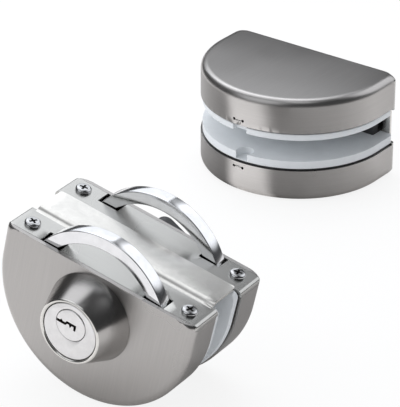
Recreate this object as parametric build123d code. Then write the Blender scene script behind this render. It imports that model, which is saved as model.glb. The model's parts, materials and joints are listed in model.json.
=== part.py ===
from build123d import *
from math import cos, radians, sin
import os

# A glass door lock in two units: the lock case, with two crescent bolts, a key cylinder and a
# thumb turn, and the keeper that the bolts hook into. Both clamp a glass door in their middle gap.
# Each unit is drawn in its own unit frame: X runs along the flat meeting edge, Z is depth with
# the meeting edge at 0 and the round end below it, and Y runs through the thickness.
# The front half has negative Y. Sizes are in millimetres.

# Sizes that both units share
unit_width = 105.0
straight_side = 16.0
unit_thickness = 58.0
front_shell_depth = 18.5
rear_shell_depth = 17.7
glass_gap = 12.0
sheet = 1.2
rim_radius = 4.2
flat_edge_radius = 0.6
fit_gap = 0.1

# How far a cutting solid runs past the surface that it opens
over = 1.0

# Where the two units lie: the lock leans on its round edge, the keeper lies flat
lock_x = 25.3
lock_y = -107.3
lock_lean = 13.15
keeper_offset_x = -51.7
keeper_offset_y = 255.5
keeper_turn = -4.15

# Plates that close the flat edge
plate_thickness = 1.4
plate_end = 52.4
plate_lip = 2.6
rim_lip = 2.0
bridge_rise = 1.7
bridge_end = 48.8
bridge_rear = 9.8
bridge_step = 6.7
bridge_corner = 1.5
joggle_foot = 9.3
bend_radius = 4.5
fold_radius = 1.9
plate_edge_radius = 0.4
groove_width = 0.5
slot_inner_x = 22.9
slot_outer_x = 34.2
slot_width = 8.4

# Base plates, pads and the bar that the glass edge meets
base_thickness = 2.5
base_clearance = 0.15
pad_thickness = 3.6
pad_inset = 1.0
pad_core_inset = 5.0
pad_corner = 3.0
pad_edge_radius = 0.5
front_pad_top = -1.7
rear_pad_top = -0.3
pad_core_top = -9.0
bar_top = -2.4
bar_bottom = -7.4
bar_half = 43.0
bar_clearance = 0.4

# Corner blocks under the edge screws
block_inner_x = 39.6
block_outer_x = 50.8
block_bottom = -10.0
block_far_y = 25.6

# Screws
edge_screw_x = 43.55
edge_screw_y = 20.0
edge_screw_radius = 1.95
edge_head_radius = 3.9
edge_head_height = 1.9
edge_screw_length = 8.5
edge_head_round = 1.3
edge_recess_depth = 1.5
small_screw_radius = 1.5
small_head_radius = 2.7
block_screw_x = 46.5
block_screw_z = -6.4
block_screw_end_y = 17.0
bar_screw_spacing = 30.0
bar_screw_length = 6.0
cap_head_radius = 2.4
cap_head_height = 2.2
clamp_screw_radius = 2.95
clamp_screw_length = 7.5
clamp_upper = (31.0, -27.0)
clamp_lower = (18.0, -52.0)

# Crescent bolts, which swing about the key cylinder's axis
bolt_axis_z = -20.0
bolt_outer = 38.0
bolt_inner = 31.7
bolt_near_y = 19.4
bolt_far_y = 26.4
bolt_free_angle = 66.0
bolt_arm_angle = 72.0
bolt_edge_chamfer = 0.35
lap_angle = 62.5
spoke_angle = 67.5
rivet_angles = (65.2, 69.4)
rivet_radius = 1.3
arm_thickness = 3.8
arm_half_width = 4.0
hub_plate_radius = 10.0
hub_radius = 6.9
hub_near_y = 10.8
spindle_square = 8.0
running_gap = 0.05
bush_outer = 9.0
bush_collar = 10.5
bush_end_y = 14.5

# Leaf spring that holds the bolts thrown or drawn, beside the rear hub
leaf_half_length = 15.0
leaf_near_y = 15.4
leaf_far_y = 18.6
leaf_thickness = 0.5
leaf_post_near = 11.5
leaf_post_far = 16.5

# Key cylinder on the front, with an eccentric plug
cylinder_z = -23.5
rosette_base_radius = 21.8
rosette_top_radius = 15.9
rosette_bore = 14.7
rosette_height = 16.2
lip_radius = 1.0
body_radius = 14.4
body_face_y = 44.6
face_chamfer = 0.4
body_end_y = 24.2
plug_radius = 7.8
plug_face_y = 44.85
plug_end_y = 24.6
pin_pitch = 4.0
pin_count = 4
pin_first_y = 42.0
pin_radius = 1.2
pin_gap = 0.12
key_pin_tip = 3.4
driver_length = 2.4
chamber_end = 13.2
spring_wire = 0.18
spring_radius = 0.85
spring_turns = 4
clip_near_y = 26.6
clip_inner = 13.5
clip_outer = 15.4
clip_opening = 5.0
rosette_screw_x = 18.0
rosette_screw_reach = 4.2
inner_head_height = 1.1
tail_depth = 3.2
tail_half_width = 3.0
tail_half_thickness = 1.0
tail_in_plug = 1.6

# Thumb turn on the rear
turn_rosette_radius = 15.5
turn_rosette_height = 3.0
turn_stem_radius = 8.0
turn_stem_end_y = 36.5
turn_grip_half = 16.5
turn_grip_end = 5.6
turn_grip_mid = 7.4
turn_grip_y = 35.5
turn_grip_height = 11.0
turn_angle = 30.0
turn_outer_round = 2.2
turn_inner_round = 1.2
turn_socket_depth = 5.0
turn_screw_x = 12.0
set_screw_radius = 1.5
set_screw_rise = 2.0

# Snap tabs at the round ends of the shells, and the notches above them in the keeper's pads
snap_x = -1.5
snap_half = 2.8
snap_hole_radius = 0.7
snap_hole_rise = 2.8
snap_slit_width = 0.2
square_notch_half = 4.2
square_notch_height = 4.6
round_notch_radius = 4.8
round_notch_rise = 4.3
release_radius = 1.8
release_rise = 4.6

# Hardened bars in the keeper that the crescents hook behind
strike_half = 11.0
strike_bottom = -6.2
strike_round = 1.5

# Values worked out from the sizes above
end_radius = unit_width / 2
face_y = unit_thickness / 2
mouth_y = face_y - front_shell_depth
rear_mouth_y = face_y - rear_shell_depth
lip_y = face_y - rim_lip
pad_y = glass_gap / 2
pad_back_y = pad_y + pad_thickness
base_inner_y = mouth_y + base_thickness
slot_near_y = lip_y - slot_width
round_end_z = -straight_side - end_radius
bar_screw_z = (bar_top + bar_bottom) / 2
arm_far_y = bolt_near_y + arm_thickness
spindle_front_y = arm_far_y
plug_tail_y = plug_end_y + tail_in_plug
clip_far_y = face_y - sheet
rosette_screw_end_y = face_y + rosette_screw_reach
turn_screw_end_y = face_y + turn_rosette_height - 0.6
set_screw_y = face_y + turn_rosette_height + set_screw_rise
lock_place = (
    Pos(lock_x, lock_y, end_radius) * Rot(0, lock_lean, 0) * Pos(0, 0, straight_side)
)
keeper_place = (
    Pos(lock_x + keeper_offset_x, lock_y + keeper_offset_y, face_y)
    * Rot(0, 0, keeper_turn)
    * Rot(-90, 0, 0)
)
sheet_up = (Align.CENTER, Align.CENTER, Align.MIN)


def d_outline(inset, top):
    """The D shape of a unit, drawn in X and Z, inset from the outside and ending at top."""
    half = end_radius - inset
    left = Line((-half, top), (-half, -straight_side))
    bottom = (0, -straight_side - half)
    round_end = ThreePointArc((-half, -straight_side), bottom, (half, -straight_side))
    right = Line((half, -straight_side), (half, top))
    flat = Line((half, top), (-half, top))
    return make_face(Curve() + [left, round_end, right, flat])


def slab(outline, near_y, far_y):
    """An X and Z outline made solid between two Y values."""
    placed = Plane.XZ.offset(-near_y) * outline
    return extrude(placed, amount=far_y - near_y, dir=(0, 1, 0))


def block(low, high):
    """A box between two corners."""
    size = [far - near for near, far in zip(low, high)]
    middle = [(far + near) / 2 for near, far in zip(low, high)]
    return Pos(*middle) * Box(*size)


def rod_y(radius, x, z, near_y, far_y):
    """A round bar along Y."""
    return Pos(x, near_y, z) * Rot(-90, 0, 0) * Cylinder(radius, far_y - near_y, align=sheet_up)


def rod_z(radius, x, y, low_z, high_z):
    """A round bar along Z."""
    return Pos(x, y, low_z) * Cylinder(radius, high_z - low_z, align=sheet_up)


def rod_x(radius, y, z, low_x, high_x):
    """A round bar along X."""
    return Pos(low_x, y, z) * Rot(0, 90, 0) * Cylinder(radius, high_x - low_x, align=sheet_up)


def ring_sector(inner, outer, from_angle, to_angle):
    """Part of a flat ring about the bolt axis, with angles from straight up towards +X."""
    start = radians(from_angle)
    end = radians(to_angle)
    middle = (start + end) / 2

    def at(radius, angle):
        return (radius * sin(angle), bolt_axis_z + radius * cos(angle))

    outside = ThreePointArc(at(outer, start), at(outer, middle), at(outer, end))
    inside = ThreePointArc(at(inner, end), at(inner, middle), at(inner, start))
    end_edge = Line(at(outer, end), at(inner, end))
    start_edge = Line(at(inner, start), at(outer, start))
    return make_face(Curve() + [outside, end_edge, inside, start_edge])


def front(piece):
    """The front half's copy of a piece drawn in the rear half."""
    return mirror(piece, about=Plane.XZ)


def both_halves(pieces):
    """Pieces drawn in the rear half, with their copies in the front half."""
    return pieces + [front(piece) for piece in pieces]


# Shells, plates and pads

def round_rim(body, radius):
    """Rounds the edge between a body's outer face and its sides, all but along the flat edge."""
    rim = body.edges().group_by(Axis.Y)[-1].sort_by(Axis.Z)[:-1]
    return fillet(rim, radius)


def cover(near_y):
    """A drawn shell: D face, rounded edge, side wall, and a narrow lip along the flat edge."""
    outside = round_rim(slab(d_outline(0, 0), near_y, face_y), rim_radius)
    flat_edge = outside.edges().group_by(Axis.Z)[-1].sort_by(Axis.Y)[1:]
    outside = fillet(flat_edge, flat_edge_radius)
    inside = slab(d_outline(sheet, -sheet), near_y - over, face_y - sheet)
    shell = outside - round_rim(inside, rim_radius - sheet)
    side_top = -plate_lip - fit_gap
    low = (-end_radius - over, near_y - over, side_top)
    shell -= block(low, (end_radius + over, lip_y, over))
    return shell - snap_cuts(near_y)


def unit_section(inset):
    """The unit's rounded section as seen on its meeting edge, as a solid round that edge."""
    half_x = end_radius - inset
    half_y = face_y - inset
    outline = RectangleRounded(2 * half_x, 2 * half_y, rim_radius - inset)
    return Pos(0, 0, -plate_lip - over) * extrude(outline, amount=plate_lip + 3 * over)


def snap_cuts(near_y):
    """Two relief holes joined by a slit, which free a small snap tab at a cover's round end."""
    hole_y = near_y + snap_hole_rise
    half_slit = snap_slit_width / 2
    low_z = round_end_z - over
    high_z = round_end_z + sheet + over
    left_x = snap_x - snap_half
    right_x = snap_x + snap_half
    slit = block((left_x, hole_y - half_slit, low_z), (right_x, hole_y + half_slit, high_z))
    return [slit] + [rod_z(snap_hole_radius, x, hole_y, low_z, high_z) for x in (left_x, right_x)]


def slots():
    """The two short slots of a half, open up to the shell's rim."""
    cuts = []
    for side in (-1, 1):
        near_x, far_x = sorted((side * slot_inner_x, side * slot_outer_x))
        low = (near_x, slot_near_y, -plate_lip - over)
        cuts.append(block(low, (far_x, lip_y + over, bridge_rise + over)))
    return cuts


def screw_holes():
    """Clearance holes for the two screws of a half's edge plate."""
    hole_radius = edge_screw_radius + 0.25
    low_z = -plate_thickness - over
    return [rod_z(hole_radius, side * edge_screw_x, edge_screw_y, low_z, over) for side in (-1, 1)]


def flange(near_y):
    """A flat plate on one half's edge, with its two ends turned down."""
    far_y = lip_y - fit_gap
    plate = block((-plate_end, near_y, -plate_lip), (plate_end, far_y, 0))
    ends = plate.edges().filter_by(Axis.Y).group_by(Axis.Z)[-1]
    plate = fillet(ends, fold_radius)
    inner_end = plate_end - sheet
    low = (-inner_end, near_y - over, -plate_lip - over)
    plate -= block(low, (inner_end, far_y + over, -plate_thickness))
    return plate & unit_section(fit_gap)


def edge_plate():
    """The plate on the rear half's edge, beside the groove."""
    plate = flange(bridge_rear + groove_width)
    plate -= slots()
    plate -= screw_holes()
    return plate


def bridge_plate():
    """The front half's edge plate, stepped up over the glass gap to the rear half."""
    lapped_y = joggle_foot + 2
    low = -plate_thickness / 2
    high = bridge_rise + low
    corners = [(lapped_y, low), (joggle_foot, low), (bridge_step, high), (-bridge_rear, high)]
    outline = trace(FilletPolyline(*corners, radius=bend_radius), line_width=plate_thickness)
    step = extrude(Plane.YZ.offset(-bridge_end) * outline, amount=2 * bridge_end, dir=(1, 0, 0))
    rear_corners = step.edges().filter_by(Axis.Z).group_by(Axis.Y)[0]
    step = fillet(rear_corners, bridge_corner)
    plate = flange(joggle_foot) + step
    plate -= slots()
    plate -= screw_holes()
    return front(plate)


def base_plate(with_bush):
    """The plate in a shell's mouth that carries the pad, the blocks and the shell."""
    plate = slab(d_outline(sheet + base_clearance, -plate_thickness), mouth_y, base_inner_y)
    for x, z in block_screw_places():
        plate -= through_base(small_screw_radius + fit_gap, x, z)
        plate -= countersink(x, z)
    for x in bar_screw_places():
        plate -= through_base(small_screw_radius + fit_gap, x, bar_screw_z)
    if with_bush:
        plate -= through_base(bush_outer, 0, bolt_axis_z)
    return plate


def through_base(radius, x, z):
    """A round cut through a base plate."""
    return rod_y(radius, x, z, mouth_y - over, base_inner_y + over)


def block_screw_places():
    """X and Z of the screws that hold the two corner blocks of a half."""
    return [(-block_screw_x, block_screw_z), (block_screw_x, block_screw_z)]


def bar_screw_places():
    """X of the screws that hold the edge bar."""
    return [-bar_screw_spacing, 0.0, bar_screw_spacing]


def clamp_screw_places():
    """X and Z of the grub screws that press the rear pad on the glass."""
    return [(side * x, z) for x, z in (clamp_upper, clamp_lower) for side in (-1, 1)]


def countersink(x, z):
    """The cone of a countersunk screw head, wide end on the outside of a base plate."""
    depth = small_head_radius - small_screw_radius
    cone = Cone(small_head_radius, small_screw_radius, depth, align=sheet_up)
    return Pos(x, mouth_y, z) * Rot(-90, 0, 0) * cone


def pad(top_z, opening):
    """A soft plate that grips the glass, on a smaller core that stands on the base plate."""
    plate = slab(d_outline(pad_inset, top_z), pad_y, pad_back_y)
    corners = plate.edges().filter_by(Axis.Y).group_by(Axis.Z)[-1]
    plate = fillet(corners, pad_corner) - opening
    plate = fillet(plate.edges().group_by(Axis.Y)[0], pad_edge_radius)
    plate += slab(d_outline(pad_core_inset, pad_core_top), pad_back_y, mouth_y) - opening
    room = bar_half + bar_clearance
    low = (-room, pad_y - over, bar_bottom - bar_clearance)
    return plate - block(low, (room, mouth_y + over, over))


def spindle_room():
    """The round opening in a lock pad for the hub and its bush."""
    return rod_y(bush_outer - fit_gap, 0, bolt_axis_z, pad_y - over, mouth_y + over)


def edge_bar():
    """The bar between the halves that the glass edge meets."""
    bar = block((-bar_half, -mouth_y, bar_bottom), (bar_half, mouth_y, bar_top))
    for x in bar_screw_places():
        for side in (-1, 1):
            near_y, far_y = sorted((side * (mouth_y - bar_screw_length - over), side * (mouth_y + over)))
            bar -= rod_y(small_screw_radius, x, bar_screw_z, near_y, far_y)
    return bar


def corner_blocks():
    """Two threaded blocks of a half, under the ends of its edge plate."""
    blocks = []
    for side in (-1, 1):
        near_x, far_x = sorted((side * block_inner_x, side * block_outer_x))
        piece = block((near_x, base_inner_y, block_bottom), (far_x, block_far_y, -plate_thickness))
        piece -= rod_z(edge_screw_radius, side * edge_screw_x, edge_screw_y, block_bottom - over, 0)
        hole_end_y = block_screw_end_y + fit_gap
        piece -= rod_y(small_screw_radius, side * block_screw_x, block_screw_z, base_inner_y - over, hole_end_y)
        blocks.append(piece)
    return blocks


# Screws

def cross_recess(head_radius, depth):
    """A cross recess that narrows with depth, its mouth at height 0."""
    arm = head_radius * 0.62
    width = head_radius * 0.24
    wide = Rectangle(2 * arm, width) + Rectangle(width, 2 * arm)
    narrow = Rectangle(arm * 0.7, width * 0.7) + Rectangle(width * 0.7, arm * 0.7)
    cone = Cone(0.05, arm, depth, align=(Align.CENTER, Align.CENTER, Align.MAX))
    deep = extrude(narrow, amount=-depth)
    slots_in_head = extrude(wide, amount=-depth) & cone
    return slots_in_head + deep


def edge_screw(x, y):
    """A pan head screw with a cross recess, its head on the edge plate at height 0."""
    head = Cylinder(edge_head_radius, edge_head_height, align=sheet_up)
    head = fillet(head.edges().group_by(Axis.Z)[-1], edge_head_round)
    head -= Pos(0, 0, edge_head_height + 0.01) * cross_recess(edge_head_radius, edge_recess_depth)
    shank = Cylinder(edge_screw_radius, edge_screw_length, align=(Align.CENTER, Align.CENTER, Align.MAX))
    return Pos(x, y, 0) * (head + shank)


def edge_screws():
    """Four screws on the meeting edge of a unit."""
    places = [(-edge_screw_x, -edge_screw_y), (edge_screw_x, -edge_screw_y)]
    places += [(-edge_screw_x, edge_screw_y), (edge_screw_x, edge_screw_y)]
    return [edge_screw(x, y) for x, y in places]


def block_screws():
    """Countersunk screws from the base plates into the corner blocks, rear half."""
    screws = []
    for x, z in block_screw_places():
        shank = rod_y(small_screw_radius, x, z, mouth_y, block_screw_end_y)
        screws.append(shank + countersink(x, z))
    return screws


def bar_screws():
    """Cap screws from inside the rear shell through the base plate into the edge bar."""
    screws = []
    for x in bar_screw_places():
        shank = rod_y(small_screw_radius, x, bar_screw_z, mouth_y - bar_screw_length, base_inner_y)
        head = rod_y(cap_head_radius, x, bar_screw_z, base_inner_y, base_inner_y + cap_head_height)
        socket = Pos(x, base_inner_y + cap_head_height / 2, bar_screw_z) * Rot(-90, 0, 0)
        hexagon = extrude(RegularPolygon(cap_head_radius / 2, 6), amount=cap_head_height)
        screws.append(shank + head - socket * hexagon)
    return screws


def clamp_screws():
    """Socket grub screws in the rear base plate, with their tips on the pad's core."""
    screws = []
    for x, z in clamp_screw_places():
        socket_depth = 3.0
        hexagon_radius = 1.7
        shank = rod_y(clamp_screw_radius, x, z, mouth_y, mouth_y + clamp_screw_length)
        socket = Pos(x, mouth_y + clamp_screw_length - socket_depth, z) * Rot(-90, 0, 0)
        hexagon = extrude(RegularPolygon(hexagon_radius, 6), amount=socket_depth + over)
        screws.append(shank - socket * hexagon)
    return screws


def clamp_holes():
    """The threaded holes of the grub screws."""
    return [through_base(clamp_screw_radius, x, z) for x, z in clamp_screw_places()]


# Bolts, spindle and thumb turn

def crescent_bolt():
    """A chromed crescent, cut back at its driven end where the arm laps it."""
    outline = ring_sector(bolt_inner, bolt_outer, -bolt_free_angle, bolt_arm_angle)
    crescent = slab(outline, bolt_near_y, bolt_far_y)
    rims = crescent.edges().filter_by(GeomType.CIRCLE)
    crescent = chamfer(rims, bolt_edge_chamfer)
    lap = ring_sector(bolt_inner - over, bolt_outer + over, lap_angle, bolt_arm_angle + over)
    crescent -= slab(lap, bolt_near_y - over, arm_far_y)
    for x, z in rivet_places():
        crescent -= rod_y(rivet_radius, x, z, bolt_near_y, bolt_far_y + over)
    return crescent


def rivet_places():
    """X and Z of the two rivets in a crescent's lap."""
    middle = (bolt_inner + bolt_outer) / 2
    turns = [radians(angle) for angle in rivet_angles]
    return [(middle * sin(turn), bolt_axis_z + middle * cos(turn)) for turn in turns]


def bolt_arm():
    """The arm that carries a crescent, with its hub running in the bush."""
    spoke_length = bolt_inner - 0.4
    spoke = Rot(0, 0, -spoke_angle) * Pos(0, spoke_length / 2) * Rectangle(2 * arm_half_width, spoke_length)
    outline = Pos(0, bolt_axis_z) * (Circle(hub_plate_radius) + spoke)
    outline += ring_sector(bolt_inner - 0.8, bolt_outer - 0.3, lap_angle, bolt_arm_angle)
    arm = slab(outline, bolt_near_y, arm_far_y)
    arm += rod_y(hub_radius, 0, bolt_axis_z, hub_near_y, bolt_near_y)
    half_flat = hub_radius - 0.4
    waist = rod_y(hub_radius + over, 0, 0, bush_end_y, bolt_near_y)
    waist -= block((-half_flat, bush_end_y, -bush_outer), (half_flat, bolt_near_y, bush_outer))
    arm -= Pos(0, 0, bolt_axis_z) * waist
    square = spindle_square / 2
    low = (-square, hub_near_y - over, bolt_axis_z - square)
    arm -= block(low, (square, arm_far_y + over, bolt_axis_z + square))
    for x, z in rivet_places():
        arm -= rod_y(rivet_radius, x, z, bolt_near_y - over, arm_far_y + over)
    return arm


def bolt_rivets():
    """Rivets that hold the crescents on their arms."""
    rivets = [rod_y(rivet_radius, x, z, bolt_near_y, bolt_far_y) for x, z in rivet_places()]
    return rivets + [front(rivet) for rivet in rivets]


def spindle():
    """The square bar that turns both bolts, slotted at the front for the cylinder's tail."""
    corner_chamfer = 0.6
    square = spindle_square / 2
    low = (-square, -spindle_front_y, bolt_axis_z - square)
    bar = block(low, (square, turn_grip_y + turn_socket_depth, bolt_axis_z + square))
    bar = chamfer(bar.edges().filter_by(Axis.Y), corner_chamfer)
    wide = tail_half_width + fit_gap
    thick = tail_half_thickness + fit_gap
    slot_end_y = -spindle_front_y + tail_depth + 3 * fit_gap
    low = (-wide, -spindle_front_y - over, bolt_axis_z - thick)
    bar -= block(low, (wide, slot_end_y, bolt_axis_z + thick))
    return bar


def bush():
    """A bronze bush pressed into a base plate, in which a bolt arm's hub runs."""
    ring = rod_y(bush_outer, 0, bolt_axis_z, mouth_y, bush_end_y)
    collar = rod_y(bush_collar, 0, bolt_axis_z, base_inner_y, bush_end_y)
    bore = rod_y(hub_radius + running_gap, 0, bolt_axis_z, mouth_y - over, bush_end_y + over)
    return ring + collar - bore


def turn_rosette():
    """The round plate under the thumb turn."""
    plate = rod_y(turn_rosette_radius, 0, bolt_axis_z, face_y, face_y + turn_rosette_height)
    edge_round = 1.2
    plate = fillet(plate.edges().group_by(Axis.Y)[-1], edge_round)
    top_y = face_y + turn_rosette_height
    plate -= rod_y(turn_stem_radius + running_gap, 0, bolt_axis_z, face_y - over, top_y + over)
    for x in (-turn_screw_x, turn_screw_x):
        plate -= rod_y(small_screw_radius, x, bolt_axis_z, face_y - over, turn_screw_end_y)
    return plate


def thumb_turn():
    """The inside handle: a round stem with a waisted grip across it."""
    stem = rod_y(turn_stem_radius, 0, 0, face_y + 3 * fit_gap, turn_stem_end_y)
    end = turn_grip_half - turn_grip_end
    outline = Circle(turn_grip_mid)
    for side in (-1, 1):
        outline += Pos(side * end, 0) * Circle(turn_grip_end)
    outline = make_hull(outline.edges())
    grip = slab(outline, turn_grip_y, turn_grip_y + turn_grip_height)
    grip = fillet(grip.edges().group_by(Axis.Y)[-1], turn_outer_round)
    grip = fillet(grip.edges().group_by(Axis.Y)[0], turn_inner_round)
    square = spindle_square / 2
    socket = block((-square, face_y, -square), (square, turn_grip_y + turn_socket_depth, square))
    turn = Rot(0, turn_angle, 0) * (stem + grip)
    turn -= socket
    turn -= rod_z(set_screw_radius, 0, set_screw_y, 0, turn_stem_radius + over)
    return Pos(0, 0, bolt_axis_z) * turn


def thumb_turn_screw():
    """The grub screw that holds the thumb turn on the spindle."""
    top = turn_stem_radius - 0.3
    socket_depth = 1.2
    screw = rod_z(set_screw_radius, 0, set_screw_y, spindle_square / 2, top)
    hexagon = extrude(RegularPolygon(set_screw_radius / 2, 6), amount=socket_depth + over)
    socket = Pos(0, set_screw_y, top - socket_depth) * hexagon
    return Pos(0, 0, bolt_axis_z) * (screw - socket)


def detent_spring():
    """A leaf spring beside the flats of the rear hub, held on two posts."""
    leaf_top = bolt_axis_z - hub_radius - 0.3
    leaf_low = leaf_top - leaf_thickness
    post_low = leaf_top - 5.0
    leaf = block((-leaf_half_length, leaf_near_y, leaf_low), (leaf_half_length, leaf_far_y, leaf_top))
    posts = []
    for side in (-1, 1):
        near_x, far_x = sorted((side * leaf_post_near, side * leaf_post_far))
        posts.append(block((near_x, base_inner_y, post_low), (far_x, leaf_far_y, leaf_low)))
    return leaf + posts


# Key cylinder, drawn in the rear half and mirrored to the front

def cylinder_rosette():
    """The conical rosette with its rounded lip, open for the cylinder body."""
    far = face_y + rosette_height
    shoulder = far - lip_radius
    foot_height = 0.6
    lip_sag = lip_radius * (1 - cos(radians(45)))
    profile = Polyline(
        (rosette_bore, face_y),
        (rosette_base_radius, face_y),
        (rosette_base_radius, face_y + foot_height),
        (rosette_top_radius, shoulder),
    )
    lip = ThreePointArc(
        (rosette_top_radius, shoulder),
        (rosette_top_radius - lip_sag, far - lip_sag),
        (rosette_top_radius - lip_radius, far),
    )
    closing = Polyline((rosette_top_radius - lip_radius, far), (rosette_bore, far - 0.5), (rosette_bore, face_y))
    outline = make_face(Curve() + [profile, lip, closing])
    rosette = revolve(outline, Axis.Y)
    for side in (-1, 1):
        hole_end_y = rosette_screw_end_y + 3 * fit_gap
        rosette -= rod_y(small_screw_radius, side * rosette_screw_x, 0, face_y - over, hole_end_y)
    return Pos(0, 0, cylinder_z) * rosette


def cylinder_body():
    """The fixed round body, with its bore above its own centre and a row of pin chambers."""
    body = rod_y(body_radius, 0, cylinder_z, body_end_y, body_face_y)
    body = chamfer(body.edges().group_by(Axis.Y)[-1], face_chamfer)
    bore = plug_radius + running_gap
    body -= rod_y(bore, 0, bolt_axis_z, body_end_y - over, body_face_y + over)
    groove = rod_y(body_radius + over, 0, cylinder_z, clip_near_y, clip_far_y)
    body -= groove - rod_y(clip_inner, 0, cylinder_z, clip_near_y - over, clip_far_y + over)
    for y in pin_places():
        body -= rod_x(pin_radius + running_gap, y, bolt_axis_z, -chamber_end, -plug_radius + over)
    return body


def pin_places():
    """Y of each pin chamber."""
    return [pin_first_y - pin_pitch * n for n in range(pin_count)]


def cylinder_clip():
    """The open ring clip that holds the cylinder behind the front cover."""
    ring = rod_y(clip_outer, 0, cylinder_z, clip_near_y, clip_far_y)
    ring -= rod_y(clip_inner, 0, cylinder_z, clip_near_y - over, clip_far_y + over)
    low = (-clip_opening, clip_near_y - over, cylinder_z - clip_outer - over)
    return ring - block(low, (clip_opening, clip_far_y + over, cylinder_z))


def keyway_outline():
    """The stepped keyway as seen from the front, round the plug's centre."""
    edge = plug_radius + 0.3
    points = [
        (-edge, -1.2), (-edge, 0.2), (-5.8, 0.2), (-5.1, 1.0), (-4.3, 0.2), (-2.9, 0.2),
        (-2.3, 1.3), (3.0, 1.3), (3.0, -1.8), (1.9, -1.8), (1.7, 0.0), (0.6, 0.0),
        (-0.1, -1.6), (-0.9, 0.0), (-1.8, 0.0), (-2.6, -1.2),
    ]
    return make_face(Polyline(points, close=True))


def key_plug():
    """The turning plug with its keyway, pin holes and tail blade slot."""
    plug = rod_y(plug_radius, 0, 0, plug_end_y, plug_face_y)
    plug = fillet(plug.edges().group_by(Axis.Y)[-1], face_chamfer)
    keyway_end_y = plug_tail_y + 0.4
    plug -= slab(keyway_outline(), keyway_end_y, plug_face_y + over)
    for y in pin_places():
        plug -= rod_x(pin_radius + running_gap, y, 0, -plug_radius - over, -key_pin_tip)
    thick = tail_half_thickness
    low = (-tail_half_width, plug_end_y - over, -thick)
    plug -= block(low, (tail_half_width, plug_tail_y, thick))
    return Pos(0, 0, bolt_axis_z) * plug


def key_pins():
    """The pins inside the plug, flush with its surface when no key is in."""
    far = plug_radius - pin_gap
    return [rod_x(pin_radius, y, bolt_axis_z, -far, -key_pin_tip) for y in pin_places()]


def driver_pins():
    """The pins in the fixed body, above the key pins."""
    near = plug_radius + pin_gap
    return [rod_x(pin_radius, y, bolt_axis_z, -near - driver_length, -near) for y in pin_places()]


def pin_springs():
    """The coil springs behind the driver pins."""
    end_room = spring_wire + 0.02
    near = plug_radius + pin_gap + driver_length + end_room
    length = chamber_end - end_room - near
    pitch = length / spring_turns
    helix = Helix(pitch, length, spring_radius)
    section = Plane(origin=helix @ 0, z_dir=helix % 0) * Circle(spring_wire)
    spring = sweep(section, path=helix)
    return [Pos(-near, y, bolt_axis_z) * Rot(0, -90, 0) * spring for y in pin_places()]


def tailpiece():
    """The flat blade that joins the plug to the spindle."""
    wide = tail_half_width
    thick = tail_half_thickness
    low = (-wide, spindle_front_y - tail_depth, bolt_axis_z - thick)
    return block(low, (wide, plug_tail_y, bolt_axis_z + thick))


def rosette_screws(screw_x, z, end_y):
    """Two screws from inside a cover into its rosette."""
    screws = []
    for x in (-screw_x, screw_x):
        head = rod_y(cap_head_radius, x, z, clip_far_y - inner_head_height, clip_far_y)
        screws.append(head + rod_y(small_screw_radius, x, z, clip_far_y, end_y))
    return screws


def rosette_screw_holes(screw_x, z):
    """The holes of those screws in the cover."""
    return [through_face(small_screw_radius + 0.15, x, z) for x in (-screw_x, screw_x)]


def through_face(radius, x, z):
    """A round cut through the flat face of a cover."""
    return rod_y(radius, x, z, face_y - sheet - over, face_y + over)


# Keeper pieces that the lock case doesn't have

def square_notch():
    """The square notch in the upper keeper pad, in line with the snap tab."""
    low = (snap_x - square_notch_half, 0, round_end_z - over)
    high_z = round_end_z + square_notch_height
    return block(low, (snap_x + square_notch_half, mouth_y - pad_edge_radius, high_z))


def round_notch():
    """The round notch at the round end of the lower keeper pad."""
    centre_z = round_end_z + round_notch_rise
    return rod_y(round_notch_radius, 0, centre_z, 0, mouth_y - pad_edge_radius)


def release_hole():
    """The hole in the lower base plate through which the snap tab is released."""
    return through_base(release_radius, 0, round_end_z + release_rise)


def strike_bars():
    """Hardened bars under the edge plates between the slots, which the crescents pass behind."""
    near_y = slot_near_y + 0.4
    far_y = lip_y - 0.6
    bar = block((-strike_half, near_y, strike_bottom), (strike_half, far_y, -plate_thickness))
    bar = fillet(bar.edges().filter_by(Axis.Y).group_by(Axis.Z)[0], strike_round)
    return [front(bar), bar]


# The nodes of the lock case

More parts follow.
